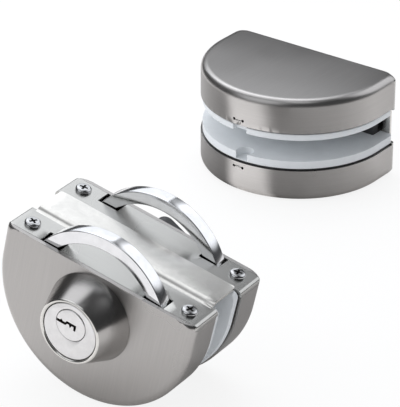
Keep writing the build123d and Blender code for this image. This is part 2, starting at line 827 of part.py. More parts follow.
key_cover = cover(mouth_y) - rosette_screw_holes(rosette_screw_x, cylinder_z)
key_cover -= through_face(body_radius + 0.15, 0, cylinder_z)
turn_cover = cover(rear_mouth_y) - rosette_screw_holes(turn_screw_x, bolt_axis_z)
turn_cover -= through_face(turn_stem_radius + 0.5, 0, bolt_axis_z)
lock_base = base_plate(True)
lock_nodes = {
    "front_cover": front(key_cover),
    "rear_cover": turn_cover,
    "bridge_plate": bridge_plate(),
    "rear_edge_plate": edge_plate(),
    "front_base_plate": front(lock_base),
    "rear_base_plate": lock_base - clamp_holes(),
    "front_pad": front(pad(front_pad_top, spindle_room())),
    "rear_pad": pad(rear_pad_top, spindle_room()),
    "glass_edge_bar": edge_bar(),
    "edge_bar_screws": both_halves(bar_screws()),
    "front_corner_blocks": [front(piece) for piece in corner_blocks()],
    "rear_corner_blocks": corner_blocks(),
    "corner_block_screws": both_halves(block_screws()),
    "edge_screws": edge_screws(),
    "clamp_screws": clamp_screws(),
    "cylinder_rosette": front(cylinder_rosette()),
    "cylinder_rosette_screws": [
        front(screw) for screw in rosette_screws(rosette_screw_x, cylinder_z, rosette_screw_end_y)
    ],
    "cylinder_body": front(cylinder_body()),
    "cylinder_clip": front(cylinder_clip()),
    "driver_pins": [front(pin) for pin in driver_pins()],
    "pin_springs": [front(spring) for spring in pin_springs()],
    "front_hub_bush": front(bush()),
    "rear_hub_bush": bush(),
    "thumb_turn_rosette": turn_rosette(),
    "thumb_turn_rosette_screws": rosette_screws(turn_screw_x, bolt_axis_z, turn_screw_end_y),
    "detent_spring": detent_spring(),
    "front_crescent_bolt": front(crescent_bolt()),
    "rear_crescent_bolt": crescent_bolt(),
    "front_bolt_arm": front(bolt_arm()),
    "rear_bolt_arm": bolt_arm(),
    "bolt_rivets": bolt_rivets(),
    "spindle": spindle(),
    "thumb_turn": thumb_turn(),
    "thumb_turn_screw": thumb_turn_screw(),
    "key_plug": front(key_plug()),
    "key_pins": [front(pin) for pin in key_pins()],
    "key_tailpiece": front(tailpiece()),
}

# The nodes of the keeper, whose front half is its upper half

keeper_base = base_plate(False)
keeper_nodes = {
    "keeper_upper_cover": front(cover(mouth_y)),
    "keeper_lower_cover": cover(rear_mouth_y),
    "keeper_bridge_plate": bridge_plate(),
    "keeper_lower_edge_plate": edge_plate(),
    "keeper_upper_base_plate": front(keeper_base),
    "keeper_lower_base_plate": keeper_base - clamp_holes() - release_hole(),
    "keeper_upper_pad": front(pad(front_pad_top, square_notch())),
    "keeper_lower_pad": pad(rear_pad_top, round_notch()),
    "keeper_glass_edge_bar": edge_bar(),
    "keeper_edge_bar_screws": both_halves(bar_screws()),
    "keeper_upper_corner_blocks": [front(piece) for piece in corner_blocks()],
    "keeper_lower_corner_blocks": corner_blocks(),
    "keeper_corner_block_screws": both_halves(block_screws()),
    "keeper_edge_screws": edge_screws(),
    "keeper_clamp_screws": clamp_screws(),
    "keeper_strike_bars": strike_bars(),
}


def write_node(name, pieces, place):
    """Writes one node's solids in the row frame."""
    if not isinstance(pieces, list):
        pieces = [pieces]
    solids = []
    for piece in pieces:
        solids += (place * piece).solids()
    node = Compound(label=name, children=solids)
    export_step(node, f"parts/{name}.step")
    return node


os.makedirs("parts", exist_ok=True)
written = [write_node(name, pieces, lock_place) for name, pieces in lock_nodes.items()]
written += [write_node(name, pieces, keeper_place) for name, pieces in keeper_nodes.items()]
whole = Compound(children=written).bounding_box()
print("nodes", len(written))
print("low corner", whole.min, "high corner", whole.max)
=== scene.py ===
"""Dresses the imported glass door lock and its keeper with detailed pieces, materials and a stage."""
import json
from math import asin, atan2, cos, degrees, hypot, pi, radians, sin, sqrt, tau

import bmesh
import bpy
from bpy.props import FloatProperty, FloatVectorProperty, IntProperty, PointerProperty
from mathutils import Matrix, Vector


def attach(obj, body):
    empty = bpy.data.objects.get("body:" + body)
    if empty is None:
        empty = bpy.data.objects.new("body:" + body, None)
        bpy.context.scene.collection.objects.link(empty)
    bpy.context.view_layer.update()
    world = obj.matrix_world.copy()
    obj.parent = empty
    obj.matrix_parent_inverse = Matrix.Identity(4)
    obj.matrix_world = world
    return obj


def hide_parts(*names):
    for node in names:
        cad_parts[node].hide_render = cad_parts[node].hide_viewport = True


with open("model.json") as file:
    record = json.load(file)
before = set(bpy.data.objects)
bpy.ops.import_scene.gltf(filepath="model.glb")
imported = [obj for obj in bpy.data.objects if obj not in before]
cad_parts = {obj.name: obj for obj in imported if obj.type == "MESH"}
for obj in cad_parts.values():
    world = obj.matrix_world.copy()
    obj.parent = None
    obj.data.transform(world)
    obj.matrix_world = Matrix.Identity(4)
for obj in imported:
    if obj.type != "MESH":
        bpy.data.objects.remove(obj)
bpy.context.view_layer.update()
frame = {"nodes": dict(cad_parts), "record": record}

bl_info = {
    "name": "Glass door lock",
    "version": (1, 0, 0),
    "blender": (4, 5, 0),
    "location": "3D View > Sidebar > Door Lock",
    "description": "Builds the visible pieces of a clamp-on glass door lock and its keeper",
    "category": "Object",
}

MM = 0.001

# How far cutters reach past what they cut, the slack in comparing lengths, and how near two points
# are when they are one
PAST = 1 * MM
NEARLY = 0.01 * MM
SAME_PLACE = 0.001 * MM

# How many soft clouds plain metal has to a metre, about one in 4 mm, and how many wide ones its
# shine has, about one in 45 mm
CLOUDS = (260.0, 260.0, 260.0)
WIDE_CLOUDS = 22.0

# Index of refraction of paint and moulded plastic
PLASTIC_IOR = 1.5


# Settings

def srgb(code):
    """A colour written as six hex digits, as the linear values that nodes take."""
    channels = [int(code[place:place + 2], 16) / 255 for place in (0, 2, 4)]
    linear = [c / 12.92 if c <= 0.04045 else ((c + 0.055) / 1.055) ** 2.4 for c in channels]
    return (*linear, 1.0)


def length(name, description, millimetres):
    """A length setting, kept in metres."""
    default = millimetres * MM
    return FloatProperty(name=name, description=description, default=default, unit="LENGTH", precision=5)


def turn(name, description, angle):
    """An angle setting in degrees, kept in radians."""
    return FloatProperty(name=name, description=description, default=radians(angle), unit="ROTATION")


def colour(name, description, code):
    """A colour setting."""
    return FloatVectorProperty(name=name, description=description, default=srgb(code), size=4,
                               subtype="COLOR", min=0.0, max=1.0)


class PlacingSettings(bpy.types.PropertyGroup):
    """Where the two units stand."""
    lock_x: length("Lock X", "X of the middle of the lock's round end", 25.3)
    lock_y: length("Lock Y", "Y of the middle of the lock's glass gap", -107.3)
    lock_z: length("Lock Z", "Height of the middle of the lock's round end", 52.5)
    lean: turn("Lean", "How far the lock leans on its round end", 13.15)
    keeper_x: length("Keeper X", "X of the middle of the keeper's flat edge", -26.4)
    keeper_y: length("Keeper Y", "Y of the middle of the keeper's flat edge", 148.2)
    keeper_z: length("Keeper Z", "Height of the middle of the keeper's glass gap", 29.0)
    keeper_turn: turn("Keeper turn", "How far the keeper is turned on the table", -4.15)


class CoverSettings(bpy.types.PropertyGroup):
    """The drawn shells of both units."""
    half_width: length("Half width", "Half the unit's width, and the round end's radius", 52.5)
    straight: length("Straight side", "Length of the straight sides beside the flat edge", 16.0)
    mouth: length("Mouth", "From the middle of the gap to a front shell's mouth", 10.5)
    rear_mouth: length("Rear mouth", "From the middle of the gap to a rear shell's mouth", 11.3)
    face: length("Face", "From the middle of the gap to a shell's outer face", 29.0)
    rim_radius: length("Rim radius", "Rounding between the face and the wall", 4.2)
    corner: length("Corner", "Rounding of the face's top corners", 4.0)
    sheet: length("Sheet", "Thickness of the drawn sheet", 1.2)
    lip: length("Lip", "From the middle of the gap to the lip along the flat edge", 27.0)
    side_top: length("Side top", "Where the wall ends below the edge plate", -2.7)
    edge_round: length("Edge round", "Rounding of the sheet's cut edges", 0.3)
    hole_radius: length("Snap hole radius", "Radius of the snap tab's relief holes", 0.8)
    snap_x: length("Snap tab X", "X of the middle of the snap tab", -1.5)
    snap_half: length("Snap half", "From the middle of the tab to a relief hole", 2.8)
    hole_rise: length("Snap hole rise", "From the mouth to the relief holes", 2.8)
    slit: length("Slit", "Width of the slit between the relief holes", 0.2)
    screw_hole: length("Screw hole", "Radius of a face's holes for rosette screws", 1.65)
    hole_ring: length("Hole ring", "Width of the ring of faces round a face's opening", 1.5)
    around: IntProperty(name="Steps around", description="Steps round the round end", default=120)
    flat_steps: IntProperty(name="Flat steps", description="Steps along the flat edge", default=16)


class PlateSettings(bpy.types.PropertyGroup):
    """The edge plates along the flat edges."""
    thickness: length("Thickness", "Thickness of the edge plates", 1.4)
    end: length("End", "Half length of a plate, over its folded ends", 52.4)
    far: length("Far edge", "From the middle of the gap to the plate's edge by the shell's lip", 26.9)
    rim_gap: length("Rim gap", "Gap between a plate's ends and the shell's rounded rim", 0.1)
    screw_gap: length("Screw gap", "Gap round a screw's shank", 0.2)
    fold_radius: length("Fold radius", "Outer radius of the folded ends", 1.9)
    fold_depth: length("Fold depth", "How far the folded ends reach down", 2.6)
    slot_inner: length("Slot inner", "From the middle to a slot's inner end", 22.9)
    slot_outer: length("Slot outer", "From the middle to a slot's outer end", 34.2)
    slot_near: length("Slot near", "From the middle of the gap to a slot's inner side", 18.6)
    rear_near: length("Rear near", "Near edge of the plain edge plate", 10.3)
    bridge_rear: length("Bridge rear", "Rear edge of the raised plateau", 9.8)
    bridge_step: length("Bridge step", "Where the plateau's step begins", 6.7)
    bridge_foot: length("Bridge foot", "Where the step reaches the lower level", 9.3)
    bridge_rise: length("Bridge rise", "Height of the plateau over the edge", 1.7)
    bridge_end: length("Bridge end", "Half length of the plateau", 48.8)
    bridge_corner: length("Bridge corner", "Rounding of the plateau's rear corners", 1.5)
    bend_radius: length("Bend radius", "Radius of the step's bends in the middle of the sheet", 4.5)
    edge_round: length("Edge round", "Rounding of the plates' cut edges", 0.25)


class BoltSettings(bpy.types.PropertyGroup):
    """The crescent bolts."""
    axis_z: length("Axis Z", "The bolts' axis below the meeting edge", -20.0)
    inner: length("Inner radius", "Inside radius of a crescent", 31.7)
    outer: length("Outer radius", "Outside radius of a crescent", 38.0)
    near: length("Near", "From the middle of the gap to a crescent's inner face", 19.4)
    far: length("Far", "From the middle of the gap to a crescent's outer face", 26.4)
    edge_round: length("Edge round", "Rounding of a crescent's edges", 0.4)
    free_end: turn("Free end", "Angle of the free end from straight up", -66.0)
    arm_end: turn("Arm end", "Angle of the arm's end from straight up", 72.0)
    lap_start: turn("Lap start", "Where the crescent is thinned for the arm", 62.5)
    lap: length("Lap", "Thickness of the arm at the lap", 3.8)
    steps: IntProperty(name="Steps", description="Steps along the arc", default=120)


class ScrewSettings(bpy.types.PropertyGroup):
    """The pan head screws in the edge plates."""
    spacing_x: length("Spacing X", "Half the distance between the two screws of a half", 43.55)
    spacing_y: length("Spacing Y", "From the middle of the gap to a screw", 20.0)
    head_radius: length("Head radius", "Radius of a pan head", 3.9)
    head_height: length("Head height", "Height of a pan head", 1.9)
    head_round: length("Head round", "Rounding of a pan head", 1.3)
    shank_radius: length("Shank radius", "Radius of the screw's shank", 2.0)
    shank_length: length("Shank length", "Length of the shank below the head", 8.5)
    wing: length("Wing", "Half length of the cross recess", 2.15)
    wing_width: length("Wing width", "Width of the cross recess", 1.15)
    recess: length("Recess", "Depth of the cross recess", 1.5)
    seed: IntProperty(name="Seed", description="Seed of the screws' turns", default=4)


class CylinderSettings(bpy.types.PropertyGroup):
    """The key cylinder and its conical rosette."""
    axis_z: length("Axis Z", "The rosette's centre below the meeting edge", -23.5)
    base_radius: length("Base radius", "Radius of the rosette's foot", 21.8)
    top_radius: length("Top radius", "Radius of the rosette's rolled lip", 16.1)
    height: length("Height", "Height of the rosette over the shell", 16.2)
    foot: length("Foot", "Height of the rosette's straight foot", 0.6)
    lip: length("Lip", "Rounding of the rosette's rolled lip", 0.85)
    bore: length("Bore", "Inside radius of the rosette", 14.4)
    body_radius: length("Body radius", "Radius of the fixed body", 14.05)
    body_near: length("Body near", "Inner end of the fixed body", 24.2)
    body_face: length("Body face", "Face of the fixed body", 44.6)
    plug_radius: length("Plug radius", "Radius of the turning plug", 7.8)
    plug_near: length("Plug near", "Inner end of the plug", 24.6)
    plug_face: length("Plug face", "Face of the plug", 44.85)
    plug_gap: length("Plug gap", "Gap round the plug", 0.2)
    shell_gap: length("Shell gap", "Gap between the body and the shell", 0.15)
    screw_x: length("Screw X", "From the middle to a screw of the rosette", 18.0)
    edge_round: length("Edge round", "Rounding of the body's and the plug's faces", 0.35)
    keyway_near: length("Keyway near", "Inner end of the keyway", 26.6)
    tail_half: length("Tail half", "Half width of the slot for the tail blade", 3.0)
    tail_far: length("Tail far", "Outer end of the slot for the tail blade", 26.2)
    clip_near: length("Clip near", "Near side of the clip's groove", 26.6)
    clip_far: length("Clip far", "Far side of the clip's groove", 27.8)
    clip_inner: length("Clip inner", "Radius of the clip's groove", 13.5)
    pin_first: length("First pin", "Y of the pin chamber nearest the face", 42.0)
    pin_pitch: length("Pin pitch", "Distance between the pin chambers", 4.0)
    pin_radius: length("Pin radius", "Radius of the pin chambers", 1.25)
    pins: IntProperty(name="Pins", description="Number of pin chambers", default=4)
    chamber_end: length("Chamber end", "How far the pin chambers reach from the plug's axis", 13.2)
    pin_tip: length("Pin tip", "How near the pins come to the plug's axis", 3.4)


class PadSettings(bpy.types.PropertyGroup):
    """The pads that grip the glass."""
    near: length("Near", "From the middle of the gap to a pad's face", 6.0)
    back: length("Back", "Back of a pad's wide part", 9.6)
    low_back: length("Low back", "Back of the keeper's lower pad", 10.3)
    inset: length("Inset", "Inset of a pad from the unit's outline", 1.0)
    core_inset: length("Core inset", "Inset of a pad's core", 5.0)
    core_top: length("Core top", "Top of a pad's core", -9.0)
    core_corner: length("Core corner", "Rounding of the core's top corners", 0.5)
    core_lap: length("Core lap", "How far the core runs into the wide part", 0.3)
    front_top: length("Front top", "Top of a front pad", -1.7)
    rear_top: length("Rear top", "Top of a rear pad", -0.3)
    corner: length("Corner", "Rounding of a pad's top corners", 3.0)
    edge_round: length("Edge round", "Rounding of a pad's face", 0.5)
    room_half: length("Room half", "Half length of the room for the edge bar", 43.4)
    room_low: length("Room low", "Bottom of the room for the edge bar", -7.8)
    hub_radius: length("Hub radius", "Radius of the opening for the bolts' hub", 8.9)
    notch_half: length("Notch half", "Half width of the square notch", 4.2)
    notch_height: length("Notch height", "Height of the square notch", 4.6)
    round_radius: length("Round radius", "Radius of the round notch", 4.8)
    round_rise: length("Round rise", "Centre of the round notch over the round end", 4.3)


class TurnSettings(bpy.types.PropertyGroup):
    """The thumb turn and its rosette."""
    axis_z: length("Axis Z", "The thumb turn's axis below the meeting edge", -20.0)
    stem_hole: length("Stem hole", "Radius of the shell's hole for the stem", 8.5)
    screw_x: length("Screw X", "From the middle to a screw of the rosette", 12.0)


class FinishSettings(bpy.types.PropertyGroup):
    """Colours of the finishes."""
    stainless: colour("Stainless", "Brushed stainless steel of the shells", "B6B4B2")
    satin: colour("Satin", "Satin plate of the edge plates", "E2E1DD")
    flange: colour("Flange", "Brushed steel of the edge plates", "C3C3C0")
    chrome: colour("Chrome", "Polished chrome of the bolts", "EDEEF0")
    screw: colour("Screw", "Polished steel of the screws", "C6C7C8")
    silver: colour("Silver", "Satin nickel of the key cylinder", "E6E6E6")
    pad: colour("Pad", "Pale smooth plastic of the glass pads", "ECEFF1")
    casting: colour("Casting", "Dark painted zinc casting", "3A3A3C")
    zinc: colour("Zinc", "Dark zinc plated steel inside", "626466")
    brass: colour("Brass", "Turned brass of the pins and bushes", "C79A52")
    # The recess colour is painted shade, near black, for the keyway and the screws' cross recesses; the oil
    # named in its description is not there
    recess: colour("Recess", "Metal blackened by oil in the keyway and the screws' crosses", "221F1C")
    spring: colour("Spring", "Bare spring steel", "8C8D90")


class StageSettings(bpy.types.PropertyGroup):
    """The camera and the light."""
    camera_place: FloatVectorProperty(name="Camera place", description="Where the camera stands",
                                      default=(0.6120, -0.9565, 0.62375), subtype="XYZ", unit="LENGTH")
    camera_pitch: turn("Camera pitch", "The camera's turn about its own X", 62.67)
    camera_heading: turn("Camera heading", "The camera's turn about Z", 32.83)
    lens: FloatProperty(name="Lens", description="Focal length on a 36 mm sensor", default=228.06)
    floor_half: length("Floor half", "Half the floor's width", 4000.0)
    paper: length("Paper", "How far the lit part of the floor reaches in reflections", 1000.0)
    bands: length("Bands", "How far the floor's darker places reach round their middle", 270.0)
    bands_middle: FloatVectorProperty(name="Bands middle", description="Where the floor's bands meet",
                                      default=(-0.010, 0.100, 0), subtype="XYZ", unit="LENGTH")


class DoorLockSettings(bpy.types.PropertyGroup):
    """All settings of the lock."""
    placing: PointerProperty(type=PlacingSettings)
    cover: PointerProperty(type=CoverSettings)
    plate: PointerProperty(type=PlateSettings)
    bolt: PointerProperty(type=BoltSettings)
    screw: PointerProperty(type=ScrewSettings)
    cylinder: PointerProperty(type=CylinderSettings)
    pad: PointerProperty(type=PadSettings)
    turn: PointerProperty(type=TurnSettings)
    finish: PointerProperty(type=FinishSettings)
    stage: PointerProperty(type=StageSettings)


def settings():
    """The settings kept in the scene."""
    return bpy.context.scene.door_lock


# Mesh helpers

def lock_frame():
    """From the lock's own axes, with its meeting edge at Z 0, to the shared frame."""
    p = settings().placing
    lean = Matrix.Rotation(p.lean, 4, "Y")
    lift = Matrix.Translation((0, 0, settings().cover.straight))
    return Matrix.Translation((p.lock_x, p.lock_y, p.lock_z)) @ lean @ lift


def keeper_frame():
    """From the keeper's own axes, with its meeting edge at Z 0, to the shared frame."""
    p = settings().placing
    place = Matrix.Translation((p.keeper_x, p.keeper_y, p.keeper_z))
    return place @ Matrix.Rotation(p.keeper_turn, 4, "Z") @ Matrix.Rotation(-pi / 2, 4, "X")


def mirrored():
    """Turns a piece drawn for the rear half into the front half's."""
    return Matrix.Scale(-1, 4, (0, 1, 0))


def halves():
    """Place and body of the lock's front and rear halves, and of the keeper's upper and lower halves."""
    return ((lock_frame() @ mirrored(), "lock_case"), (lock_frame(), "lock_case"),
            (keeper_frame() @ mirrored(), "keeper"), (keeper_frame(), "keeper"))


def make_object(name, points, faces):
    """A new object with the given mesh, in the scene."""
    mesh = bpy.data.meshes.new(name)
    mesh.from_pydata(points, [], faces)
    obj = bpy.data.objects.new(name, mesh)
    bpy.context.scene.collection.objects.link(obj)
    return obj


def discard(obj):
    """Removes an object and its mesh."""
    mesh = obj.data
    bpy.data.objects.remove(obj)
    bpy.data.meshes.remove(mesh)


def grid_faces(across, rows, keep=None):
    """Quads of a grid of points laid row by row, where keep(column, row) says yes."""
    faces = []
    for row in range(rows - 1):
        for column in range(across - 1):
            if keep is None or keep(column, row):
                first = row * across + column
                faces.append((first, first + 1, first + across + 1, first + across))
    return faces


def bake(obj):
    """Turns an object's modifiers into its mesh."""
    graph = bpy.context.evaluated_depsgraph_get()
    mesh = bpy.data.meshes.new_from_object(obj.evaluated_get(graph), depsgraph=graph)
    raw = obj.data
    obj.modifiers.clear()
    obj.data = mesh
    bpy.data.meshes.remove(raw)
    mesh.name = obj.name
    return obj


def cut(obj, cutters, operation="DIFFERENCE"):
    """Takes the cutters out of an object, or joins them to it, and removes them."""
    for cutter in cutters:
        modifier = obj.modifiers.new("Cut", "BOOLEAN")
        modifier.operation = operation
        modifier.solver = "EXACT"
        modifier.object = cutter
    bake(obj)
    for cutter in cutters:
        discard(cutter)
    return obj


def move_mesh(obj, matrix):
    """Moves an object's mesh, keeping its faces outward."""
    obj.data.transform(matrix)
    if matrix.determinant() < 0:
        obj.data.flip_normals()
    return obj


def thicken(obj, thickness):
    """Gives an open sheet its thickness, behind its faces."""
    modifier = obj.modifiers.new("Sheet", "SOLIDIFY")
    modifier.thickness = thickness
    modifier.offset = -1
    modifier.use_even_offset = True


def round_edges(obj, width, segments=3, angle=35):
    """Rounds an object's sharp edges and shades it smooth, with flat faces kept flat."""
    modifier = obj.modifiers.new("Edges", "BEVEL")
    modifier.width = width
    modifier.segments = segments
    modifier.limit_method = "ANGLE"
    modifier.angle_limit = radians(angle)
    obj.data.shade_smooth()
    weighted = obj.modifiers.new("Normals", "WEIGHTED_NORMAL")
    weighted.keep_sharp = True
    weighted.weight = 60


def shade(obj, angle):
    """Shades an object smooth up to an angle between its faces."""
    obj.data.shade_smooth()
    obj.data.set_sharp_from_angle(angle=radians(angle))
    return obj


def join_points(obj, closed=False):
    """Joins the points that lie in one place, and turns a closed body's faces outward."""
    body = bmesh.new()
    body.from_mesh(obj.data)
    bmesh.ops.remove_doubles(body, verts=body.verts, dist=SAME_PLACE)
    if closed:
        bmesh.ops.recalc_face_normals(body, faces=body.faces)
    body.to_mesh(obj.data)
    body.free()
    return obj


def arc_points(centre, radius, start, end, steps):
    """Points along an arc, with angles in degrees from the first axis towards the second."""
    points = []
    for step in range(steps + 1):
        angle = radians(start + (end - start) * step / steps)
        points.append((centre[0] + radius * cos(angle), centre[1] + radius * sin(angle)))
    return points


def lathe(name, profile, steps, ring=False):
    """A body turned about Y from (radius, y) points, closed by end faces, or into a ring."""
    points = []
    for radius, y in profile:
        for step in range(steps):
            angle = tau * step / steps
            points.append((radius * sin(angle), y, radius * cos(angle)))
    faces = []
    rows = len(profile)
    for row in range(rows if ring else rows - 1):
        first = row * steps
        second = (row + 1) % rows * steps
        for step in range(steps):
            after = (step + 1) % steps
            faces.append((first + step, second + step, second + after, first + after))
    if not ring:
        last = (rows - 1) * steps
        faces.append(tuple(range(steps)))
        faces.append(tuple(last + step for step in range(steps)))
    return join_points(make_object(name, points, faces), closed=True)


def loft(name, lower, upper):
    """A body between two outlines with the same number of points."""
    count = len(lower)
    faces = [tuple(range(count)), tuple(range(count, 2 * count))]
    for first in range(count):
        second = (first + 1) % count
        faces.append((first, first + count, second + count, second))
    return join_points(make_object(name, lower + upper, faces), closed=True)


def prism(name, outline, near_y, far_y):
    """An outline of (x, z) points made solid between two Y values."""
    return loft(name, [(x, near_y, z) for x, z in outline], [(x, far_y, z) for x, z in outline])


def rod(radius, place, axis, depth, steps=24):
    """A round bar for cutting, centred on a place."""
    obj = lathe("cutter", [(radius, -depth / 2), (radius, depth / 2)], steps)
    turned = Vector((0, 1, 0)).rotation_difference(Vector(axis)).to_matrix().to_4x4()
    return move_mesh(obj, Matrix.Translation(place) @ turned)


def box(low, high):
    """A box for cutting, between two corners."""
    outline = [(low[0], low[2]), (high[0], low[2]), (high[0], high[2]), (low[0], high[2])]
    return prism("cutter", outline, low[1], high[1])


def brush_map(obj, grain):
    """Adds the UV map that the brushing follows, U across the grain and V along it, in metres."""
    mesh = obj.data
    layer = mesh.uv_layers.new(name="brush")
    for polygon in mesh.polygons:
        for loop in polygon.loop_indices:
            place = mesh.vertices[mesh.loops[loop].vertex_index].co
            layer.data[loop].uv = grain(place, polygon.normal, polygon.center)
    return obj


def round_grain(centre_z, pitch_radius=15 * MM):
    """The grain of a turned piece about a line along Y: round it, also on its flat faces."""
    def grain(place, normal, centre):
        middle = atan2(centre.x, centre.z - centre_z)
        angle = atan2(place.x, place.z - centre_z)
        angle += tau * round((middle - angle) / tau)
        radius = hypot(place.x, place.z - centre_z)
        return (place.y - radius, angle * pitch_radius)
    return grain


def two_finishes(obj, main, other, test):
    """Gives an object two finishes, the other one on the faces whose centre passes a test."""
    obj.data.materials.clear()
    for finish in (main, other):
        obj.data.materials.append(material_named(finish))
    for polygon in obj.data.polygons:
        polygon.material_index = int(test(polygon.center))


def dress(obj, body, node, finish=None):
    """Puts a finished piece under its body, hides the CAD node it stands for, and gives it its finish when
    one is given.
    """
    if finish:
        obj.data.materials.clear()
        obj.data.materials.append(material_named(finish))
    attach(obj, body)
    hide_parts(node)


# Nodes

def add_node(tree, kind, inputs=None, **options):
    """Adds a node; each input takes a value, a socket, or the first output of another node."""
    node = tree.nodes.new(kind)
    for name, value in options.items():
        setattr(node, name, value)
    for name, value in (inputs or {}).items():
        if isinstance(value, bpy.types.Node):
            value = next(output for output in value.outputs if output.enabled)
        if isinstance(value, bpy.types.NodeSocket):
            tree.links.new(value, node.inputs[name])
        else:
            node.inputs[name].default_value = value
    return node


def new_rule(name, inputs):
    """A geometry node tree with named inputs, each with the kind of its socket."""
    tree = bpy.data.node_groups.new(name, "GeometryNodeTree")
    for label, kind in inputs.items():
        tree.interface.new_socket(name=label, in_out="INPUT", socket_type="NodeSocket" + kind)
    tree.interface.new_socket(name="Geometry", in_out="OUTPUT", socket_type="NodeSocketGeometry")
    return tree


def close_rule(tree, geometry, material):
    """Ends a tree with real geometry that carries its material."""
    real = add_node(tree, "GeometryNodeRealizeInstances", {"Geometry": geometry})
    painted = add_node(tree, "GeometryNodeSetMaterial", {"Geometry": real, "Material": material})
    add_node(tree, "NodeGroupOutput", {"Geometry": painted})
    return tree


def grow(name, tree, values):
    """Runs a tree on a new object, and keeps what it makes as the object's mesh."""
    obj = make_object(name, [], [])
    modifier = obj.modifiers.new("Rule", "NODES")
    modifier.node_group = tree
    for item in tree.interface.items_tree:
        if item.in_out == "INPUT":
            modifier[item.identifier] = values[item.name]
    return bake(obj)


# Materials

def new_material(name):
    """An empty node material."""
    material = bpy.data.materials.new(name)
    material.use_nodes = True
    material.node_tree.nodes.clear()
    return material


def ramp(tree, source, stops):
    """A colour ramp with the given (position, value) stops, fed by a source."""
    node = add_node(tree, "ShaderNodeValToRGB", {"Fac": source})
    elements = node.color_ramp.elements
    while len(elements) < len(stops):
        elements.new(0.5)
    for element, (position, value) in zip(elements, stops):
        element.position = position
        element.color = value if isinstance(value, tuple) else (value, value, value, 1.0)
    return node


def grained(tree, tint, source, depth):
    """A colour that a noise makes up to a share darker and lighter."""
    dark = tuple(c * (1 - depth) for c in tint[:3]) + (1.0,)
    light = tuple(min(1.0, c * (1 + depth)) for c in tint[:3]) + (1.0,)
    return ramp(tree, source, [(0.3, dark), (0.7, light)])


def metal(name, tint, roughness, anisotropy=0.0, streak=None):
    """A metal; streak is (across per metre, along per metre, depth) for brushing along its UV map."""
    material = new_material(name)
    tree = material.node_tree
    place = add_node(tree, "ShaderNodeTexCoord").outputs["Object"]
    base = place
    scale = CLOUDS
    depth = 0.05
    relief = 0.02
    spread = 0.15
    if streak:
        across, along, depth = streak
        base = add_node(tree, "ShaderNodeUVMap", uv_map="brush")
        scale = (across, along, across)
        relief = 0.05
    mapped = add_node(tree, "ShaderNodeMapping", {"Scale": scale, "Vector": base})
    fine = add_node(tree, "ShaderNodeTexNoise",
                    {"Scale": 1.0, "Detail": 3.0, "Roughness": 0.6, "Vector": mapped})
    wide = add_node(tree, "ShaderNodeTexNoise", {"Scale": WIDE_CLOUDS, "Detail": 2.0, "Vector": place})
    colours = grained(tree, tint, fine, depth)
    rough = add_node(tree, "ShaderNodeMapRange",
                     {"From Min": 0.2, "From Max": 0.8, "To Min": roughness * (1 - spread),
                      "To Max": roughness * (1 + spread), "Value": wide}, clamp=False)
    bump = add_node(tree, "ShaderNodeBump", {"Strength": relief, "Distance": 0.02 * MM, "Height": fine})
    shader = add_node(tree, "ShaderNodeBsdfPrincipled",
                      {"Metallic": 1.0, "Anisotropic": anisotropy, "Base Color": colours,
                       "Roughness": rough, "Normal": bump})
    if anisotropy:
        tangent = add_node(tree, "ShaderNodeTangent", direction_type="UV_MAP", uv_map="brush")
        tree.links.new(tangent.outputs["Tangent"], shader.inputs["Tangent"])
    add_node(tree, "ShaderNodeOutputMaterial", {"Surface": shader})
    return material


def plain(name, tint, roughness, grain, depth):
    """A painted or moulded surface; grain is how many of its spots go to a metre."""
    material = new_material(name)
    tree = material.node_tree
    place = add_node(tree, "ShaderNodeTexCoord").outputs["Object"]
    noise = add_node(tree, "ShaderNodeTexNoise",
                     {"Scale": grain, "Detail": 4.0, "Roughness": 0.6, "Vector": place})
    colours = grained(tree, tint, noise, depth)
    spread = 0.2
    rough = add_node(tree, "ShaderNodeMapRange",
                     {"To Min": roughness * (1 - spread), "To Max": roughness * (1 + spread),
                      "Value": noise})
    bump = add_node(tree, "ShaderNodeBump", {"Strength": 0.15, "Distance": 0.03 * MM, "Height": noise})
    shader = add_node(tree, "ShaderNodeBsdfPrincipled",
                      {"IOR": PLASTIC_IOR, "Base Color": colours, "Roughness": rough, "Normal": bump})
    add_node(tree, "ShaderNodeOutputMaterial", {"Surface": shader})
    return material


